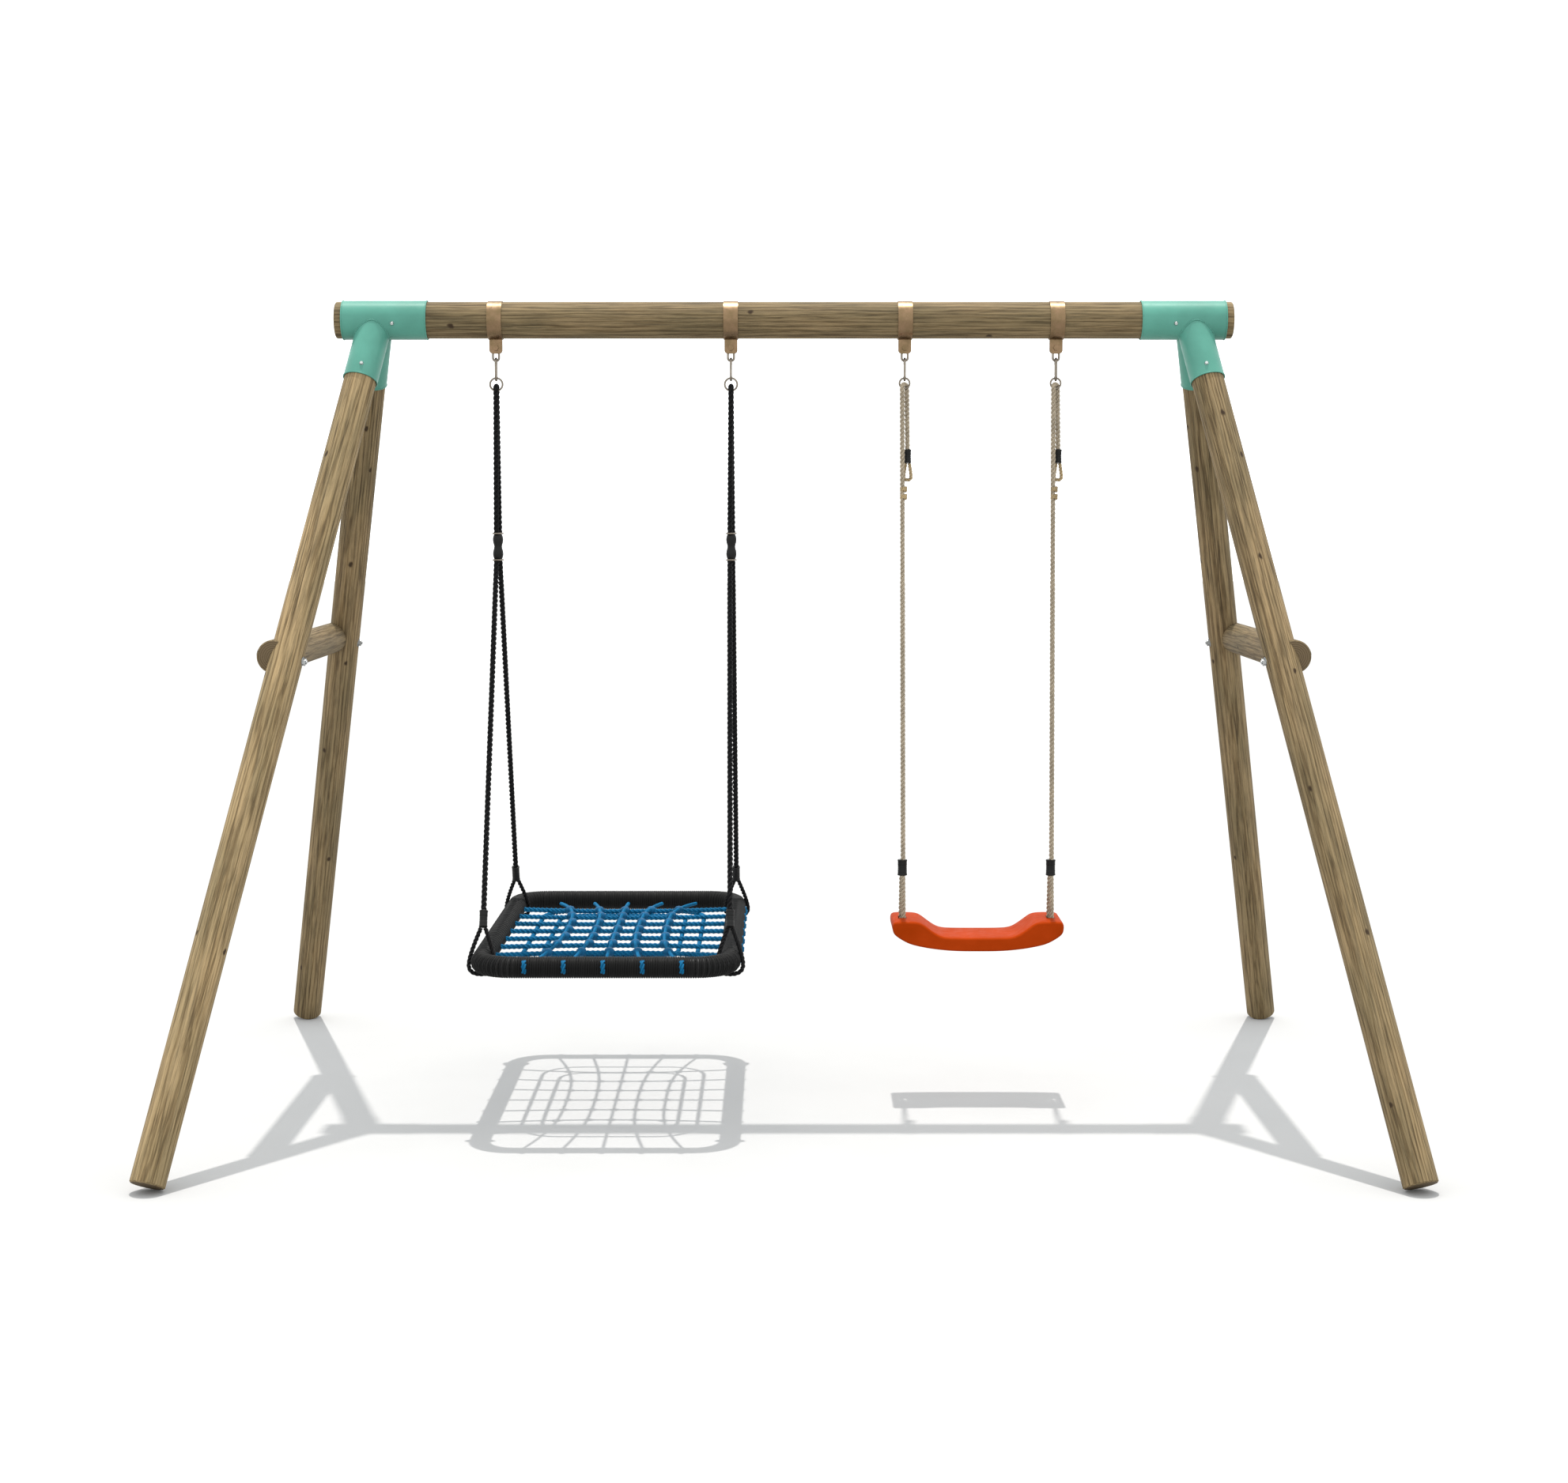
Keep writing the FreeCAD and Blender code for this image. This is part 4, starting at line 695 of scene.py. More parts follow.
# %% The ropes of the seat
SEAT_ROPE = 0.0125
EYE_ROPE = 0.009
SEAT_HANGERS = {"left": 318.5, "right": 717.5}


def seat_route(x):
    return metres((x + 1.5, -6.35, 639.5), (x - 6.5, -9.05, 1885.55), (x - 6.5, -9.05, 1906.55),
                  (x + 6.5, 9.05, 1906.55), (x + 6.5, 9.05, 1885.55), (x + 9, 6.5, 1736))


def lug_route(x):
    return metres((x + 1.5, -6.35, 596.5), (x + 3, -11.55, 471.45), (x + 3, -11.55, 450.45),
                  (x - 3, 11.55, 450.45), (x - 3, 11.55, 471.45), (x - 1.5, 6.35, 596.5))


def rope_eye_route(x):
    return metres((x + 4.3, 6.5, 1700), (x - 0.5, 6.5, 1672), (x - 0.5, 6.5, 1655.5),
                  (x + 18.5, 6.5, 1655.5), (x + 18.5, 6.5, 1672), (x + 13.7, 6.5, 1700))


def hang_seat_ropes():
    ride = ("seat_swing", "natural_rope")
    for side_name, x in SEAT_HANGERS.items():
        name = "seat_rope_" + side_name
        hang_rope("twisted_" + name, seat_route(x), SEAT_ROPE, natural_yarn, *ride, [name])
        name = "lug_loop_" + side_name
        hang_rope("twisted_" + name, lug_route(x), SEAT_ROPE, natural_yarn, *ride, [name])
        name = "rope_eye_" + side_name
        hang_rope(name, rope_eye_route(x), EYE_ROPE, golden_yarn, *ride, ["rope_eyes"])


hang_seat_ropes()

# %% [markdown]
# ## Knots
# Two lumps of the same rope sit one above the other beside each long strand. A tied lump could be
# traced turn by turn, but it is small: two tight rings of twisted rope for each lump, tipped
# opposite ways through each other, read as a pulled knot from all sides.

# %% Knots
KNOT_LEVELS = (1611, 1631)
KNOT_CORD = 0.0088
KNOT_RADIUS = 6.6
KNOT_ASIDE = 1.5
KNOT_FORWARD = -8.0
KNOT_TILTS = (0.62, -0.55)
KNOT_STEPS = 28


def knot_ring(x, level, tilt):
    """One tight ring of rope that leans to one side."""
    centre = Vector((x - KNOT_ASIDE, KNOT_FORWARD, level))
    line = []
    for step in range(KNOT_STEPS + 1):
        turn = 2 * math.pi * step / KNOT_STEPS
        flat = Vector((math.cos(turn), math.sin(turn), 0)) * KNOT_RADIUS
        line.append((centre + Matrix.Rotation(tilt, 3, "Y") @ flat) / MM)
    return line


knots = [knot_ring(x, level, tilt) for x in SEAT_HANGERS.values()
         for level in KNOT_LEVELS for tilt in KNOT_TILTS]
rope_piece("tied_knots", knots, KNOT_CORD, golden_yarn, "seat_swing", ["rope_knots"], steps=8)
print("tied", len(KNOT_LEVELS) * len(SEAT_HANGERS), "lumps")

# %% [markdown]
# ## Moulded sleeves, ferrules and adjusters
# All of these are round pieces with lips and waists. A cylinder with bevels has no waist, so they
# are turned as on a lathe: a list of radii and heights is spun about the piece's own line.

# %% Moulded sleeves, ferrules and adjusters
TURNED_SIDES = 28
LIP = 3.2
GROOVE_PITCH = 4.4
GROOVE_HALF = 1.6
GROOVE_DEPTH = 1.1


def turn_piece(shape, centre, direction, profile):
    """Spins a profile of (radius, height) in millimetres about a line and closes both ends."""
    up = Vector(direction).normalized()
    side = up.orthogonal().normalized()
    other = up.cross(side)
    loops = []
    for radius, height in profile:
        corners = []
        for corner in range(TURNED_SIDES):
            turn = 2 * math.pi * corner / TURNED_SIDES
            out = side * math.cos(turn) + other * math.sin(turn)
            corners.append(shape.verts.new(centre + up * height / MM + out * radius / MM))
        loops.append(corners)
    bridge(shape, loops)
    shape.faces.new(reversed(loops[0]))
    shape.faces.new(loops[-1])


def grooved_profile(radius, half, grooves):
    """A barrel with rounded ends, a lip at each end and shallow grooves round its middle."""
    rim, round_by = radius + 0.6, 1.6
    low = [(rim - round_by * 2.2, -half), (rim - round_by, -half),
           (rim - 0.3 * round_by, -half + 0.3 * round_by), (rim, -half + round_by),
           (rim, -half + LIP), (radius, -half + 4.6), (radius - 0.2, -half + 8)]
    middle = []
    for number in range(grooves):
        height = (number - (grooves - 1) / 2) * GROOVE_PITCH
        middle += [(radius, height - GROOVE_HALF), (radius - GROOVE_DEPTH, height),
                   (radius, height + GROOVE_HALF)]
    return low + middle + [(reach, -height) for reach, height in reversed(low)]


ADJUSTER_HALF = [(10.4, 0), (11.2, -5), (13.0, -11), (13.9, -18), (13.7, -23), (12.2, -28.5),
                 (11, -31.5), (10.2, -33), (8, -33)]
ADJUSTER_PROFILE = ADJUSTER_HALF[::-1] + [(radius, -height) for radius, height in ADJUSTER_HALF[1:]]


ADJUSTER_Z = 1479
SLEEVE_REACH = 0.108
TOP_FERRULE = (9, 6.5, 1718)
LOW_FERRULE = (0, 0, 618)


def turned_group(name, places, profile, body, replaced):
    """One black moulded piece with the same profile at each place and direction."""
    shape = bmesh.new()
    for centre, direction in places:
        turn_piece(shape, centre, direction, profile)
    keep_piece(name, mesh_from(name, shape), black_moulding, body, [replaced])
    print("turned", name, "at", len(places), "places")


def upright(x, aside, across, level):
    """A place beside a hanging line, for a piece that stands upright."""
    return Vector((x + aside, across, level)) / MM, (0, 0, 1)


def sleeve_place(side, end):
    start, rail = net_rope_ends(side, end)
    up = (start - rail).normalized()
    return rail + up * SLEEVE_REACH, up


for side_name, x in NET_HANGERS.items():
    name = "rope_adjuster_" + side_name
    turned_group("moulded_" + name, [upright(x, 0, 0, ADJUSTER_Z)], ADJUSTER_PROFILE, "net_swing", name)
sleeves = [sleeve_place(side, end) for side, _ in SIDES for end, _ in ENDS]
turned_group("moulded_sleeves", sleeves, grooved_profile(10.4, 22, 3), "net_swing", "rope_sleeves")
tops = [upright(x, *TOP_FERRULE) for x in SEAT_HANGERS.values()]
turned_group("upper_ferrules", tops, grooved_profile(9.4, 18, 2), "seat_swing", "top_ferrules")
lows = [upright(x, *LOW_FERRULE) for x in SEAT_HANGERS.values()]
turned_group("lower_ferrules", lows, grooved_profile(12.4, 21.5, 3), "seat_swing", "low_ferrules")

# %% [markdown]
# ## Helpers for Geometry Nodes
# What repeats by a rule is made by Geometry Nodes: the winding, the bindings and the weld beads.
# Each of them starts from bare points or a wire, and has its sizes and its finish as named inputs.
# The result is kept as a plain mesh, because only a mesh travels with the model.

# %% Helpers for Geometry Nodes
def bare_points(name, points, closed_wire=False):
    """Points for Geometry Nodes to start from, joined to a closed wire where asked."""
    mesh = bpy.data.meshes.new(name)
    count = len(points)
    edges = [(index, (index + 1) % count) for index in range(count)] if closed_wire else []
    mesh.from_pydata([tuple(point) for point in points], edges, [])
    return new_object(name, mesh)


def new_tree(name, numbers, whole_numbers=()):
    """An empty Geometry Nodes tree with named inputs for its sizes and its finish."""
    tree = bpy.data.node_groups.new(name, "GeometryNodeTree")
    tree.interface.new_socket("Geometry", in_out="INPUT", socket_type="NodeSocketGeometry")
    for label in numbers:
        tree.interface.new_socket(label, in_out="INPUT", socket_type="NodeSocketFloat")
    for label in whole_numbers:
        tree.interface.new_socket(label, in_out="INPUT", socket_type="NodeSocketInt")
    tree.interface.new_socket("Finish", in_out="INPUT", socket_type="NodeSocketMaterial")
    tree.interface.new_socket("Geometry", in_out="OUTPUT", socket_type="NodeSocketGeometry")
    return tree, tree.nodes.new("NodeGroupInput"), tree.nodes.new("NodeGroupOutput")


def step(tree, kind, inputs=None):
    """Adds one step to a tree and gives back what comes out of it."""
    return add_node(tree, "GeometryNode" + kind, inputs).outputs[0]


def arrows(tree, operation, inputs):
    return add(tree, "VectorMath", inputs, operation=operation).outputs[0]


def apply_tree(holder, tree, name, values):
    """Runs a tree on an object, with each input set by its identifier, and gives back a plain mesh."""
    modifier = holder.modifiers.new("rule", "NODES")
    modifier.node_group = tree
    for socket in tree.interface.items_tree:
        if socket.in_out == "INPUT" and socket.name in values:
            modifier[socket.identifier] = values[socket.name]
    bpy.context.view_layer.update()
    shape = holder.evaluated_get(bpy.context.evaluated_depsgraph_get())
    mesh = bpy.data.meshes.new_from_object(shape)
    mesh.name = name
    bpy.data.objects.remove(holder)
    return mesh


def finish_tree(tree, ends, geometry, finish):
    """The last steps of every tree: real geometry, smooth shading and the finish."""
    real = step(tree, "RealizeInstances", {"Geometry": geometry})
    smooth = step(tree, "SetShadeSmooth", {"Geometry": real})
    painted = step(tree, "SetMaterial", {"Geometry": smooth, "Material": finish})
    tree.links.new(painted, ends.inputs["Geometry"])


def put_on_points(tree, points, shape, scale, **more):
    """A copy of a shape on each point."""
    points = step(tree, "MeshToPoints", {"Mesh": points})
    return step(tree, "InstanceOnPoints", {"Points": points, "Instance": shape, "Scale": scale, **more})


print("helpers for Geometry Nodes ready")

# %% [markdown]
# ## The wound frame of the net swing
# The frame is a steel tube in a soft sleeve, wound all round with thin black cord. A bumpy texture
# would leave its outline smooth, so the winding is real: the frame's middle line is cut into small
# steps, and a turning arrow pushes each one out, which gives one long helix.

# %% The wound frame of the net swing
FRAME_HALF = (0.314, 0.524)
FRAME_CORNER = 0.090
WINDING_TURNS = 552
WINDING_STEPS = 14
WINDING_WIRE = 0.0030
WINDING_SIDES = 6
COIL_RADIUS = 0.0247
CORE_RADIUS = 0.0252
CORE_SIDES = 20
UP = Vector((0, 0, 1))


def rounded_rectangle(half, corner, steps=8):
    """Points round a rectangle with round corners, in the plane of the net."""
    points = []
    for quarter, (sign_x, sign_y) in enumerate(((1, 1), (-1, 1), (-1, -1), (1, -1))):
        centre = Vector((sign_x * (half[0] - corner), sign_y * (half[1] - corner), 0))
        for step in range(steps + 1):
            turn = math.pi / 2 * (quarter + step / steps)
            points.append(centre + Vector((math.cos(turn), math.sin(turn), 0)) * corner)
    return points


def winding_tree():
    sizes = ("Coil radius", "Wire radius"), ("Turns", "Steps", "Sides")
    tree, starts, ends = new_tree("winding", *sizes)
    given = starts.outputs
    line = step(tree, "MeshToCurve", {"Mesh": given["Geometry"]})
    count = maths(tree, "MULTIPLY", given["Turns"], given["Steps"])
    cut = step(tree, "ResampleCurve", {"Curve": line, "Count": count})
    share = maths(tree, "DIVIDE", step(tree, "InputIndex"), given["Steps"])
    turn = maths(tree, "MULTIPLY", share, 2 * math.pi)
    rise = maths(tree, "SINE", turn)
    reach = maths(tree, "COSINE", turn)
    outward = arrows(tree, "CROSS_PRODUCT", {0: step(tree, "InputTangent"), 1: UP})
    outward = arrows(tree, "NORMALIZE", {0: outward})
    aside = arrows(tree, "SCALE", {0: outward, "Scale": reach})
    above = add(tree, "CombineXYZ", {"Z": rise}).outputs[0]
    arrow = arrows(tree, "ADD", {0: aside, 1: above})
    push = arrows(tree, "SCALE", {0: arrow, "Scale": given["Coil radius"]})
    coil = step(tree, "SetPosition", {"Geometry": cut, "Offset": push})
    ring = step(tree, "CurvePrimitiveCircle", {"Resolution": given["Sides"], "Radius": given["Wire radius"]})
    wire = step(tree, "CurveToMesh", {"Curve": coil, "Profile Curve": ring})
    finish_tree(tree, ends, wire, given["Finish"])
    return tree


NET_MIDDLE = Vector((NET_X, 0, RAIL_Z)) / MM
frame_line = [NET_MIDDLE + point for point in rounded_rectangle(FRAME_HALF, FRAME_CORNER, 12)]


def wind_frame():
    holder = bare_points("frame_path", frame_line, closed_wire=True)
    sizes = {"Coil radius": COIL_RADIUS, "Wire radius": WINDING_WIRE, "Turns": WINDING_TURNS,
             "Steps": WINDING_STEPS, "Sides": WINDING_SIDES, "Finish": frame_yarn}
    mesh = apply_tree(holder, winding_tree(), "wound_cord", sizes)
    keep_piece("wound_cord", mesh, frame_yarn, "net_swing", ["frame_winding"])
    print("wound", WINDING_TURNS, "turns,", len(mesh.polygons), "faces")


def fill_sleeve():
    """The soft sleeve under the winding, which shows dark between the turns."""
    shape = bmesh.new()
    turns = [2 * math.pi * corner / CORE_SIDES for corner in range(CORE_SIDES)]
    loops = []
    for index, place in enumerate(frame_line):
        ahead = (frame_line[(index + 1) % len(frame_line)] - frame_line[index - 1]).normalized()
        out = ahead.cross(UP).normalized()
        loops.append([shape.verts.new(place + (out * math.cos(turn) + UP * math.sin(turn)) * CORE_RADIUS)
                      for turn in turns])
    bridge(shape, loops + loops[:1])
    keep_piece("frame_sleeve", mesh_from("frame_sleeve", shape), black_moulding, "net_swing")


wind_frame()
fill_sleeve()
finish_node("net_frame_tube", dull_zinc)

# %% [markdown]
# ## The net
# Blue cords cross the frame from side to side, other cords run from the front to the back and draw
# in at the middle, and two closed cords run round below. A flat sheet with a net pattern would have
# no thickness where cords cross, so each cord is a rope of its own, with fewer steps than the
# hanging ropes because it is thin. Small bindings hold the cords where they cross.

# %% The cords of the net
CORD_DIAMETERS = {"cross": 0.0135, "long": 0.0092, "ring": 0.0115}
CORD_STEP = 10.2
LONG_END_DROP = -6
CROSS_REACH = 289
CROSS_PITCH = 119
CROSS_PITCH_MIDDLE = 97
CROSS_NUMBERS = range(-3, 4)
LONG_STEPS = [(-499, 0, LONG_END_DROP), (-318, 1, CORD_STEP), (0, 2, CORD_STEP), (318, 1, CORD_STEP),
              (499, 0, LONG_END_DROP)]
LONG_WIDTHS = {0: (0, 0, 0), 1: (98, 64, 54), 2: (196, 140, 130)}
RINGS = (((0.226, 0.390), 0.100), ((0.175, 0.316), 0.070))


def cross_route(number):
    at_rail = CROSS_PITCH * number
    at_middle = CROSS_PITCH_MIDDLE * number
    points = metres((-CROSS_REACH, at_rail, 0), (0, at_middle, 0), (CROSS_REACH, at_rail, 0))
    return [NET_MIDDLE + point for point in points]


def long_route(number):
    """Each step is a place from front to back, which of the three widths holds there, and a height."""
    widths = LONG_WIDTHS[abs(number)]
    side = -1 if number < 0 else 1
    points = metres(*[(side * widths[kind], y, z) for y, kind, z in LONG_STEPS])
    return [NET_MIDDLE + point for point in points]


def ring_line(half, corner):
    below = Vector((0, 0, -CORD_STEP / MM))
    ring = rounded_rectangle(half, corner, 6)
    ring.append(ring[0].copy())
    return [NET_MIDDLE + below + point for point in ring]


cord_lines = {
    "cross": [smooth_line("cross_line", cross_route(number)) for number in CROSS_NUMBERS],
    "long": [smooth_line("long_line", long_route(number)) for number in range(-2, 3)],
    "ring": [ring_line(*ring) for ring in RINGS],
}


def blue_rope(name, lines, diameter, replaced, steps):
    rope_piece(name, lines, diameter, blue_yarn, "net_swing", [replaced], 6, steps)


for name, lines in cord_lines.items():
    blue_rope(f"blue_{name}_cords", lines, CORD_DIAMETERS[name], f"net_{name}_cords", 8)
    print("laid", len(lines), name, "cords")

# %% [markdown]
# ## Lashings
# Each cord goes in under the black winding and shows again as a short bulge on the outer side of
# the rail. Only that bulge shows, so each lashing is a short arc of cord. A full turn round the
# rail would show blue on top of the winding, where the real one has none.

# %% Lashings
LASHING_RADIUS = 0.0278
LASHING_SINK = 0.008
LASHING_CORD = 0.0125
LASHING_STEPS = 12
LONG_ENDS = (-0.196, -0.098, 0, 0.098, 0.196)
END_RAIL_SPAN = (math.radians(52), math.radians(-28))
SIDE_RAIL_SPAN = (math.radians(16), math.radians(-56))


def lashing_line(place, ahead, span):
    """A short arc of cord over the outer side of the rail. Both of its ends dive under the winding."""
    out = ahead.cross(UP).normalized()
    line = []
    for step in range(LASHING_STEPS + 1):
        share = step / LASHING_STEPS
        turn = span[0] + (span[1] - span[0]) * share
        reach = LASHING_RADIUS - LASHING_SINK * (2 * share - 1) ** 4
        arm = out * math.cos(turn) + UP * math.sin(turn)
        line.append(place + arm * reach)
    return line


def lashing_lines():
    lines = []
    for side in (-1, 1):
        for number in CROSS_NUMBERS:
            place = NET_MIDDLE + Vector((side * FRAME_HALF[0], CROSS_PITCH / MM * number, 0))
            lines.append(lashing_line(place, Vector((0, side, 0)), SIDE_RAIL_SPAN))
        for aside in LONG_ENDS:
            place = NET_MIDDLE + Vector((aside, side * FRAME_HALF[1], 0))
            lines.append(lashing_line(place, Vector((-side, 0, 0)), END_RAIL_SPAN))
    return lines


lashings = lashing_lines()
blue_rope("blue_lashings", lashings, LASHING_CORD, "net_lashings", 6)
print("lashed at", len(lashings), "places")

# %% [markdown]
# ## Bindings
# Where cords cross, a short binding of the same cord holds them, and it looks like a small lump.
# Geometry Nodes put one such lump on each crossing, turned a little differently each time.

# %% Bindings
BINDING_RADIUS = 0.0145
BINDING_SQUASH = 0.80
BINDING_SEED = 11
BINDING_TURNS = (0.35, 0.35, 3.1)


def crossings():
    """The points where a long cord passes over a cross cord."""
    found = []
    for cross in cord_lines["cross"]:
        for long_line in cord_lines["long"]:
            pairs = ((first, second) for first in cross[::2] for second in long_line[::2])
            first, second = min(pairs, key=lambda pair: (pair[0].xy - pair[1].xy).length)
            found.append((first + second) / 2)
    return found


def binding_tree():
    tree, starts, ends = new_tree("bindings", ("Radius", "Squash"))
    given = starts.outputs
    lump = step(tree, "MeshUVSphere", {"Segments": 8, "Rings": 6, "Radius": given["Radius"]})
    scale = add(tree, "CombineXYZ", {"X": 1.0, "Y": 1.0, "Z": given["Squash"]}).outputs[0]
    turn = add_node(tree, "FunctionNodeRandomValue", {"Seed": BINDING_SEED}, data_type="FLOAT_VECTOR")
    turn.inputs["Min"].default_value = tuple(-most for most in BINDING_TURNS)
    turn.inputs["Max"].default_value = BINDING_TURNS
    placed = put_on_points(tree, given["Geometry"], lump, scale, Rotation=turn.outputs["Value"])
    finish_tree(tree, ends, placed, given["Finish"])
    return tree


def bind_net():
    places = crossings()
    sizes = {"Radius": BINDING_RADIUS, "Squash": BINDING_SQUASH, "Finish": blue_yarn}
    mesh = apply_tree(bare_points("crossings", places), binding_tree(), "blue_bindings", sizes)
    keep_piece("blue_bindings", mesh, blue_yarn, "net_swing")
    print("bound", len(places), "crossings")


bind_net()

# %% [markdown]
# ## Weld beads
# The leg sleeves are welded to the beam sleeve. A smooth fillet would look cast, and a weld is laid
# drop by drop, so Geometry Nodes set a drop every few millimetres along the line where the two
# tubes meet. That line is found by halving: a point slides down the leg sleeve until it comes out
# of the beam sleeve.

# %% Weld beads
BEAM_SLEEVE_RADIUS = 0.051
LEG_SLEEVE_RADIUS = 0.045
APEX = Vector((1.075, 0, 2.074))
BEAD_STEPS = 90
BEAD_SEARCH = 0.2
BEAD_HALVINGS = 40
DROP_RADIUS = 0.0024
DROP_SIZES = (0.8, 1.15)
DROP_SEED = 5


def bead_path(side, end):
    """Where a leg sleeve's skin meets the beam sleeve's skin."""
    direction = leg_slope(side, end)
    apex = Vector((side * APEX.x, 0, APEX.z))
    across = direction.cross(Vector((1, 0, 0))).normalized()
    other = direction.cross(across)
    path = []
    for step in range(BEAD_STEPS):
        turn = 2 * math.pi * step / BEAD_STEPS
        base = apex + (across * math.cos(turn) + other * math.sin(turn)) * LEG_SLEEVE_RADIUS
        low, high = 0.0, BEAD_SEARCH
        for _ in range(BEAD_HALVINGS):
            half = (low + high) / 2
            place = base + direction * half
            inside = math.hypot(place.y, place.z - apex.z) < BEAM_SLEEVE_RADIUS
            low, high = (half, high) if inside else (low, half)
        place = base + direction * high
        on_own_side = place.y * end > -0.002
        if on_own_side and high < 0.95 * BEAD_SEARCH:
            path.append(place)
    return path


def bead_tree():
    tree, starts, ends = new_tree("weld_bead", ("Radius",))
    given = starts.outputs
    drop = step(tree, "MeshIcoSphere", {"Radius": given["Radius"], "Subdivisions": 2})
    size_range = add_node(tree, "FunctionNodeRandomValue", {"Seed": DROP_SEED}, data_type="FLOAT")
    size_range.inputs[2].default_value, size_range.inputs[3].default_value = DROP_SIZES
    placed = put_on_points(tree, given["Geometry"], drop, size_range.outputs[1])
    finish_tree(tree, ends, placed, given["Finish"])
    return tree


def weld_brackets():
    tree = bead_tree()
    for side, side_name in SIDES:
        drops = bead_path(side, -1) + bead_path(side, 1)
        name = "weld_bead_" + side_name
        sizes = {"Radius": DROP_RADIUS, "Finish": mint_coat}
        mesh = apply_tree(bare_points("drops", drops), tree, name, sizes)
        keep_piece(name, mesh, mint_coat, "frame")
        print("welded", side_name, "with", len(drops), "drops")


weld_brackets()

# %% [markdown]
# ## The body of the seat
# The seat is one moulding with a dished middle and raised shoulders. It could be bent from a
# box with a subdivision surface, but its outline is what one knows it by. So that outline from the
# front is a smooth spline, which is carried from the front to the back and drawn in a little at
# both edges, so that they are round.

# %% The body of the seat
SEAT_X = 518
SEAT_HALF_DEPTH = 85
SEAT_EDGE = 7
EDGE_STEPS = 5
OUTLINE_STEPS = 150
MIDDLE_STATIONS = (-0.04, 0.0, 0.04)
SEAT_TOP = [(0, 440), (60, 440), (92, 441.5), (112, 450), (136, 468), (154, 481), (176, 483.5), (214, 483.5)]
SEAT_END = [(227, 481), (229, 466), (226, 449), (205, 434)]
SEAT_LOW = [(180, 421), (136, 411.5), (90, 405.5), (45, 403), (0, 403)]


def seat_outline():
    """The outline from the front, all the way round, as an even line of points."""
    half = SEAT_TOP + SEAT_END + SEAT_LOW
    other = [(-x, z) for x, z in reversed(half[1:-1])]
    line = smooth_line("seat_line", [Vector((x, 0, z)) / MM for x, z in half + other], closed=True)
    return evenly(line, OUTLINE_STEPS)[:-1]


def seat_ring(outline, inset):
    """The outline drawn in by a distance, square to itself."""
    ring = []
    for index, place in enumerate(outline):
        ahead = outline[(index + 1) % len(outline)] - outline[index - 1]
        inward = Vector((ahead.z, 0, -ahead.x)).normalized()
        ring.append(place + inward * inset)
    return ring


def seat_stations():
    """From the front to the back: where each outline stands and how far it is drawn in."""
    depth = SEAT_HALF_DEPTH / MM
    edge = SEAT_EDGE / MM
    turns = [math.pi / 2 * step / EDGE_STEPS for step in range(EDGE_STEPS, -1, -1)]
    front = [(-depth + edge * (1 - math.sin(turn)), edge * (1 - math.cos(turn))) for turn in turns]
    back = [(-y, inset) for y, inset in reversed(front)]
    return front + [(y, 0.0) for y in MIDDLE_STATIONS] + back


def seat_body():
    outline = seat_outline()
    shape = bmesh.new()
    offset = Vector((SEAT_X / MM, 0, 0))
    loops = []
    for y, inset in seat_stations():
        ring = seat_ring(outline, inset)
        loops.append([shape.verts.new(place + offset + Vector((0, y, 0))) for place in ring])
    bridge(shape, loops)
    shape.faces.new(loops[0])
    shape.faces.new(reversed(loops[-1]))
    return new_object("moulded_seat_blank", mesh_from("moulded_seat", shape))


seat = seat_body()
print("seat body with", len(seat.data.polygons), "faces")

# %% [markdown]
# ## The slots and the bars of the seat
# Each shoulder has a slot with a bar in it, and the rope's loop goes round the bar. A slot is a
# clean hole with round ends, so it is cut with a Boolean. Its new edges are sharp, as no moulded
# edge is, so a small bevel rounds every edge that turns by more than 50 degrees.

# %% The slots and the bars of the seat
SLOT_X = 199.5
SLOT_HALF = (5, 14)
SLOT_ROUND = 6
SLOT_HEIGHTS = (0.36, 0.52)
BAR_Z = 462
BAR_PROFILE = [(2, -12), (5, -12), (4.9, -6), (4.9, 6), (5, 12), (2, 12)]
EDGE_BEVEL = 0.0018


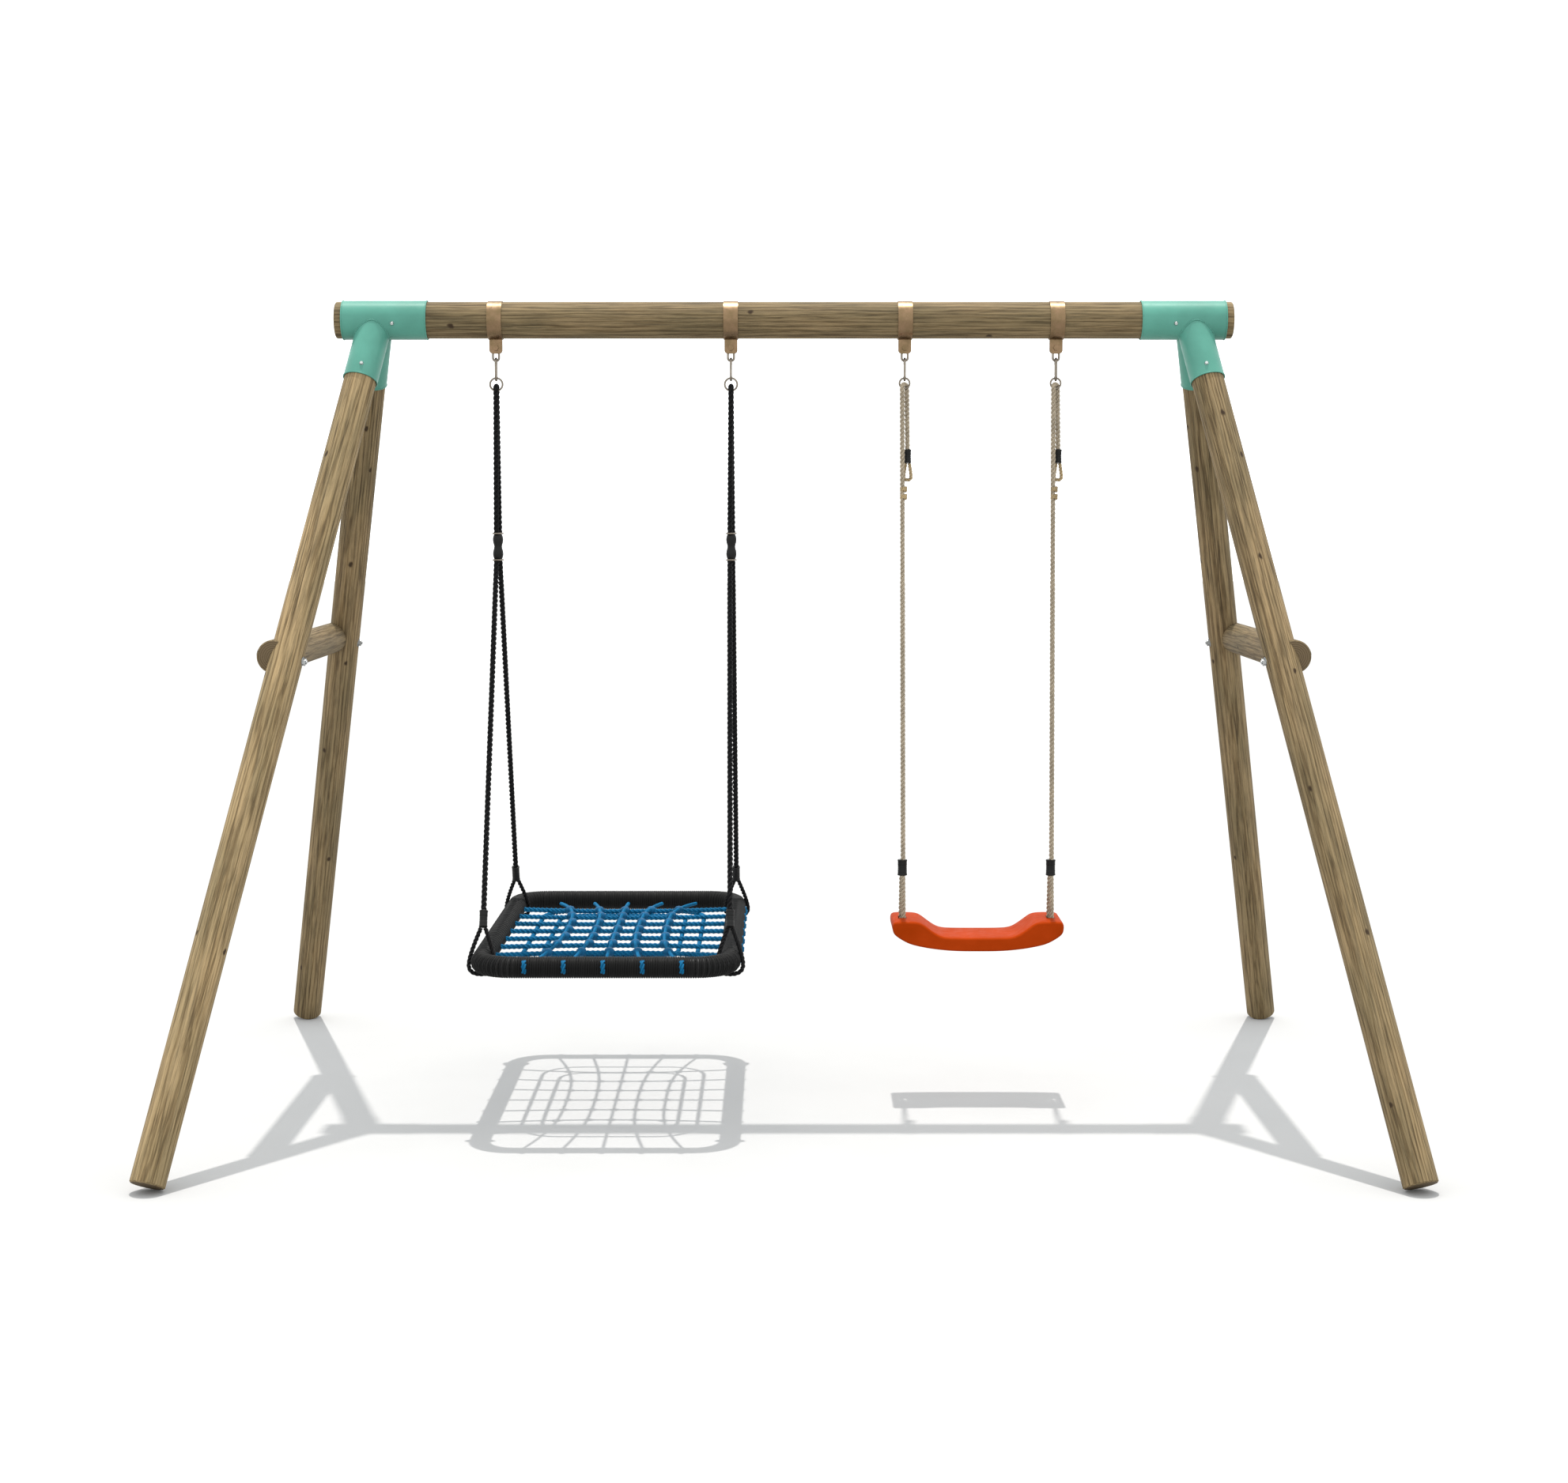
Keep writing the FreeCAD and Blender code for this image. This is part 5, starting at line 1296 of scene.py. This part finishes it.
def slot_cutter():
    """Two upright rounded bars, as large as the slots."""
    shape = bmesh.new()
    for side in (-1, 1):
        corners = []
        for quarter, (sign_x, sign_y) in enumerate(((1, 1), (-1, 1), (-1, -1), (1, -1))):
            for step in range(5):
                turn = math.pi / 2 * (quarter + step / 4)
                x = SEAT_X + side * SLOT_X + sign_x * SLOT_HALF[0] + SLOT_ROUND * math.cos(turn)
                corners.append(Vector((x, sign_y * SLOT_HALF[1] + SLOT_ROUND * math.sin(turn), 0)) / MM)
        low, high = ([shape.verts.new(corner + Vector((0, 0, height))) for corner in corners]
                     for height in SLOT_HEIGHTS)
        bridge(shape, [low, high])
        shape.faces.new(reversed(low))
        shape.faces.new(high)
    return new_object("slot_cutter", mesh_from("slot_cutter", shape))


def finish_seat():
    cutter = slot_cutter()
    cut = seat.modifiers.new("slots", "BOOLEAN")
    cut.object = cutter
    cut.operation = "DIFFERENCE"
    cut.solver = "EXACT"
    soften = seat.modifiers.new("edges", "BEVEL")
    soften.width = EDGE_BEVEL
    soften.segments = 3
    soften.limit_method = "ANGLE"
    soften.angle_limit = math.radians(50)
    bpy.context.view_layer.update()
    mesh = bpy.data.meshes.new_from_object(seat.evaluated_get(bpy.context.evaluated_depsgraph_get()))
    bpy.data.objects.remove(seat)
    bpy.data.objects.remove(cutter)
    mesh.name = "moulded_seat"
    for polygon in mesh.polygons:
        polygon.use_smooth = True
    keep_piece("moulded_seat", mesh, orange_moulding, "seat_swing", ["swing_seat"])
    print("seat with", len(mesh.polygons), "faces")


def make_bars():
    shape = bmesh.new()
    for side in (-1, 1):
        centre = Vector((SEAT_X + side * SLOT_X, 0, BAR_Z)) / MM
        turn_piece(shape, centre, (1, 0, 0), BAR_PROFILE)
    keep_piece("seat_bars", mesh_from("seat_bars", shape), orange_moulding, "seat_swing")


finish_seat()
make_bars()

# %% [markdown]
# ## The floor
# A plain pale floor, wide enough to reach the horizon in every view. It isn't part of the object.

# %% The floor
FLOOR_HALF = 40
FLOOR_GREY = (0.405, 0.405, 0.405)


def make_floor():
    shape = bmesh.new()
    corners = ((-1, -1), (1, -1), (1, 1), (-1, 1))
    shape.faces.new([shape.verts.new((x * FLOOR_HALF, y * FLOOR_HALF, 0)) for x, y in corners])
    mesh = bpy.data.meshes.new("floor")
    shape.to_mesh(mesh)
    shape.free()
    finish, tree, shader = new_finish("pale_floor", FLOOR_GREY, 0.9, specular=0.0)
    cloud = texture_noise(tree, object_place(tree), 3, 2)
    tree.links.new(shades(tree, cloud, [(0.3, 0.400), (0.7, 0.410)]), shader.inputs["Base Color"])
    mesh.materials.append(finish)
    new_object("floor", mesh)


make_floor()
print("floor", 2 * FLOOR_HALF, "m across")
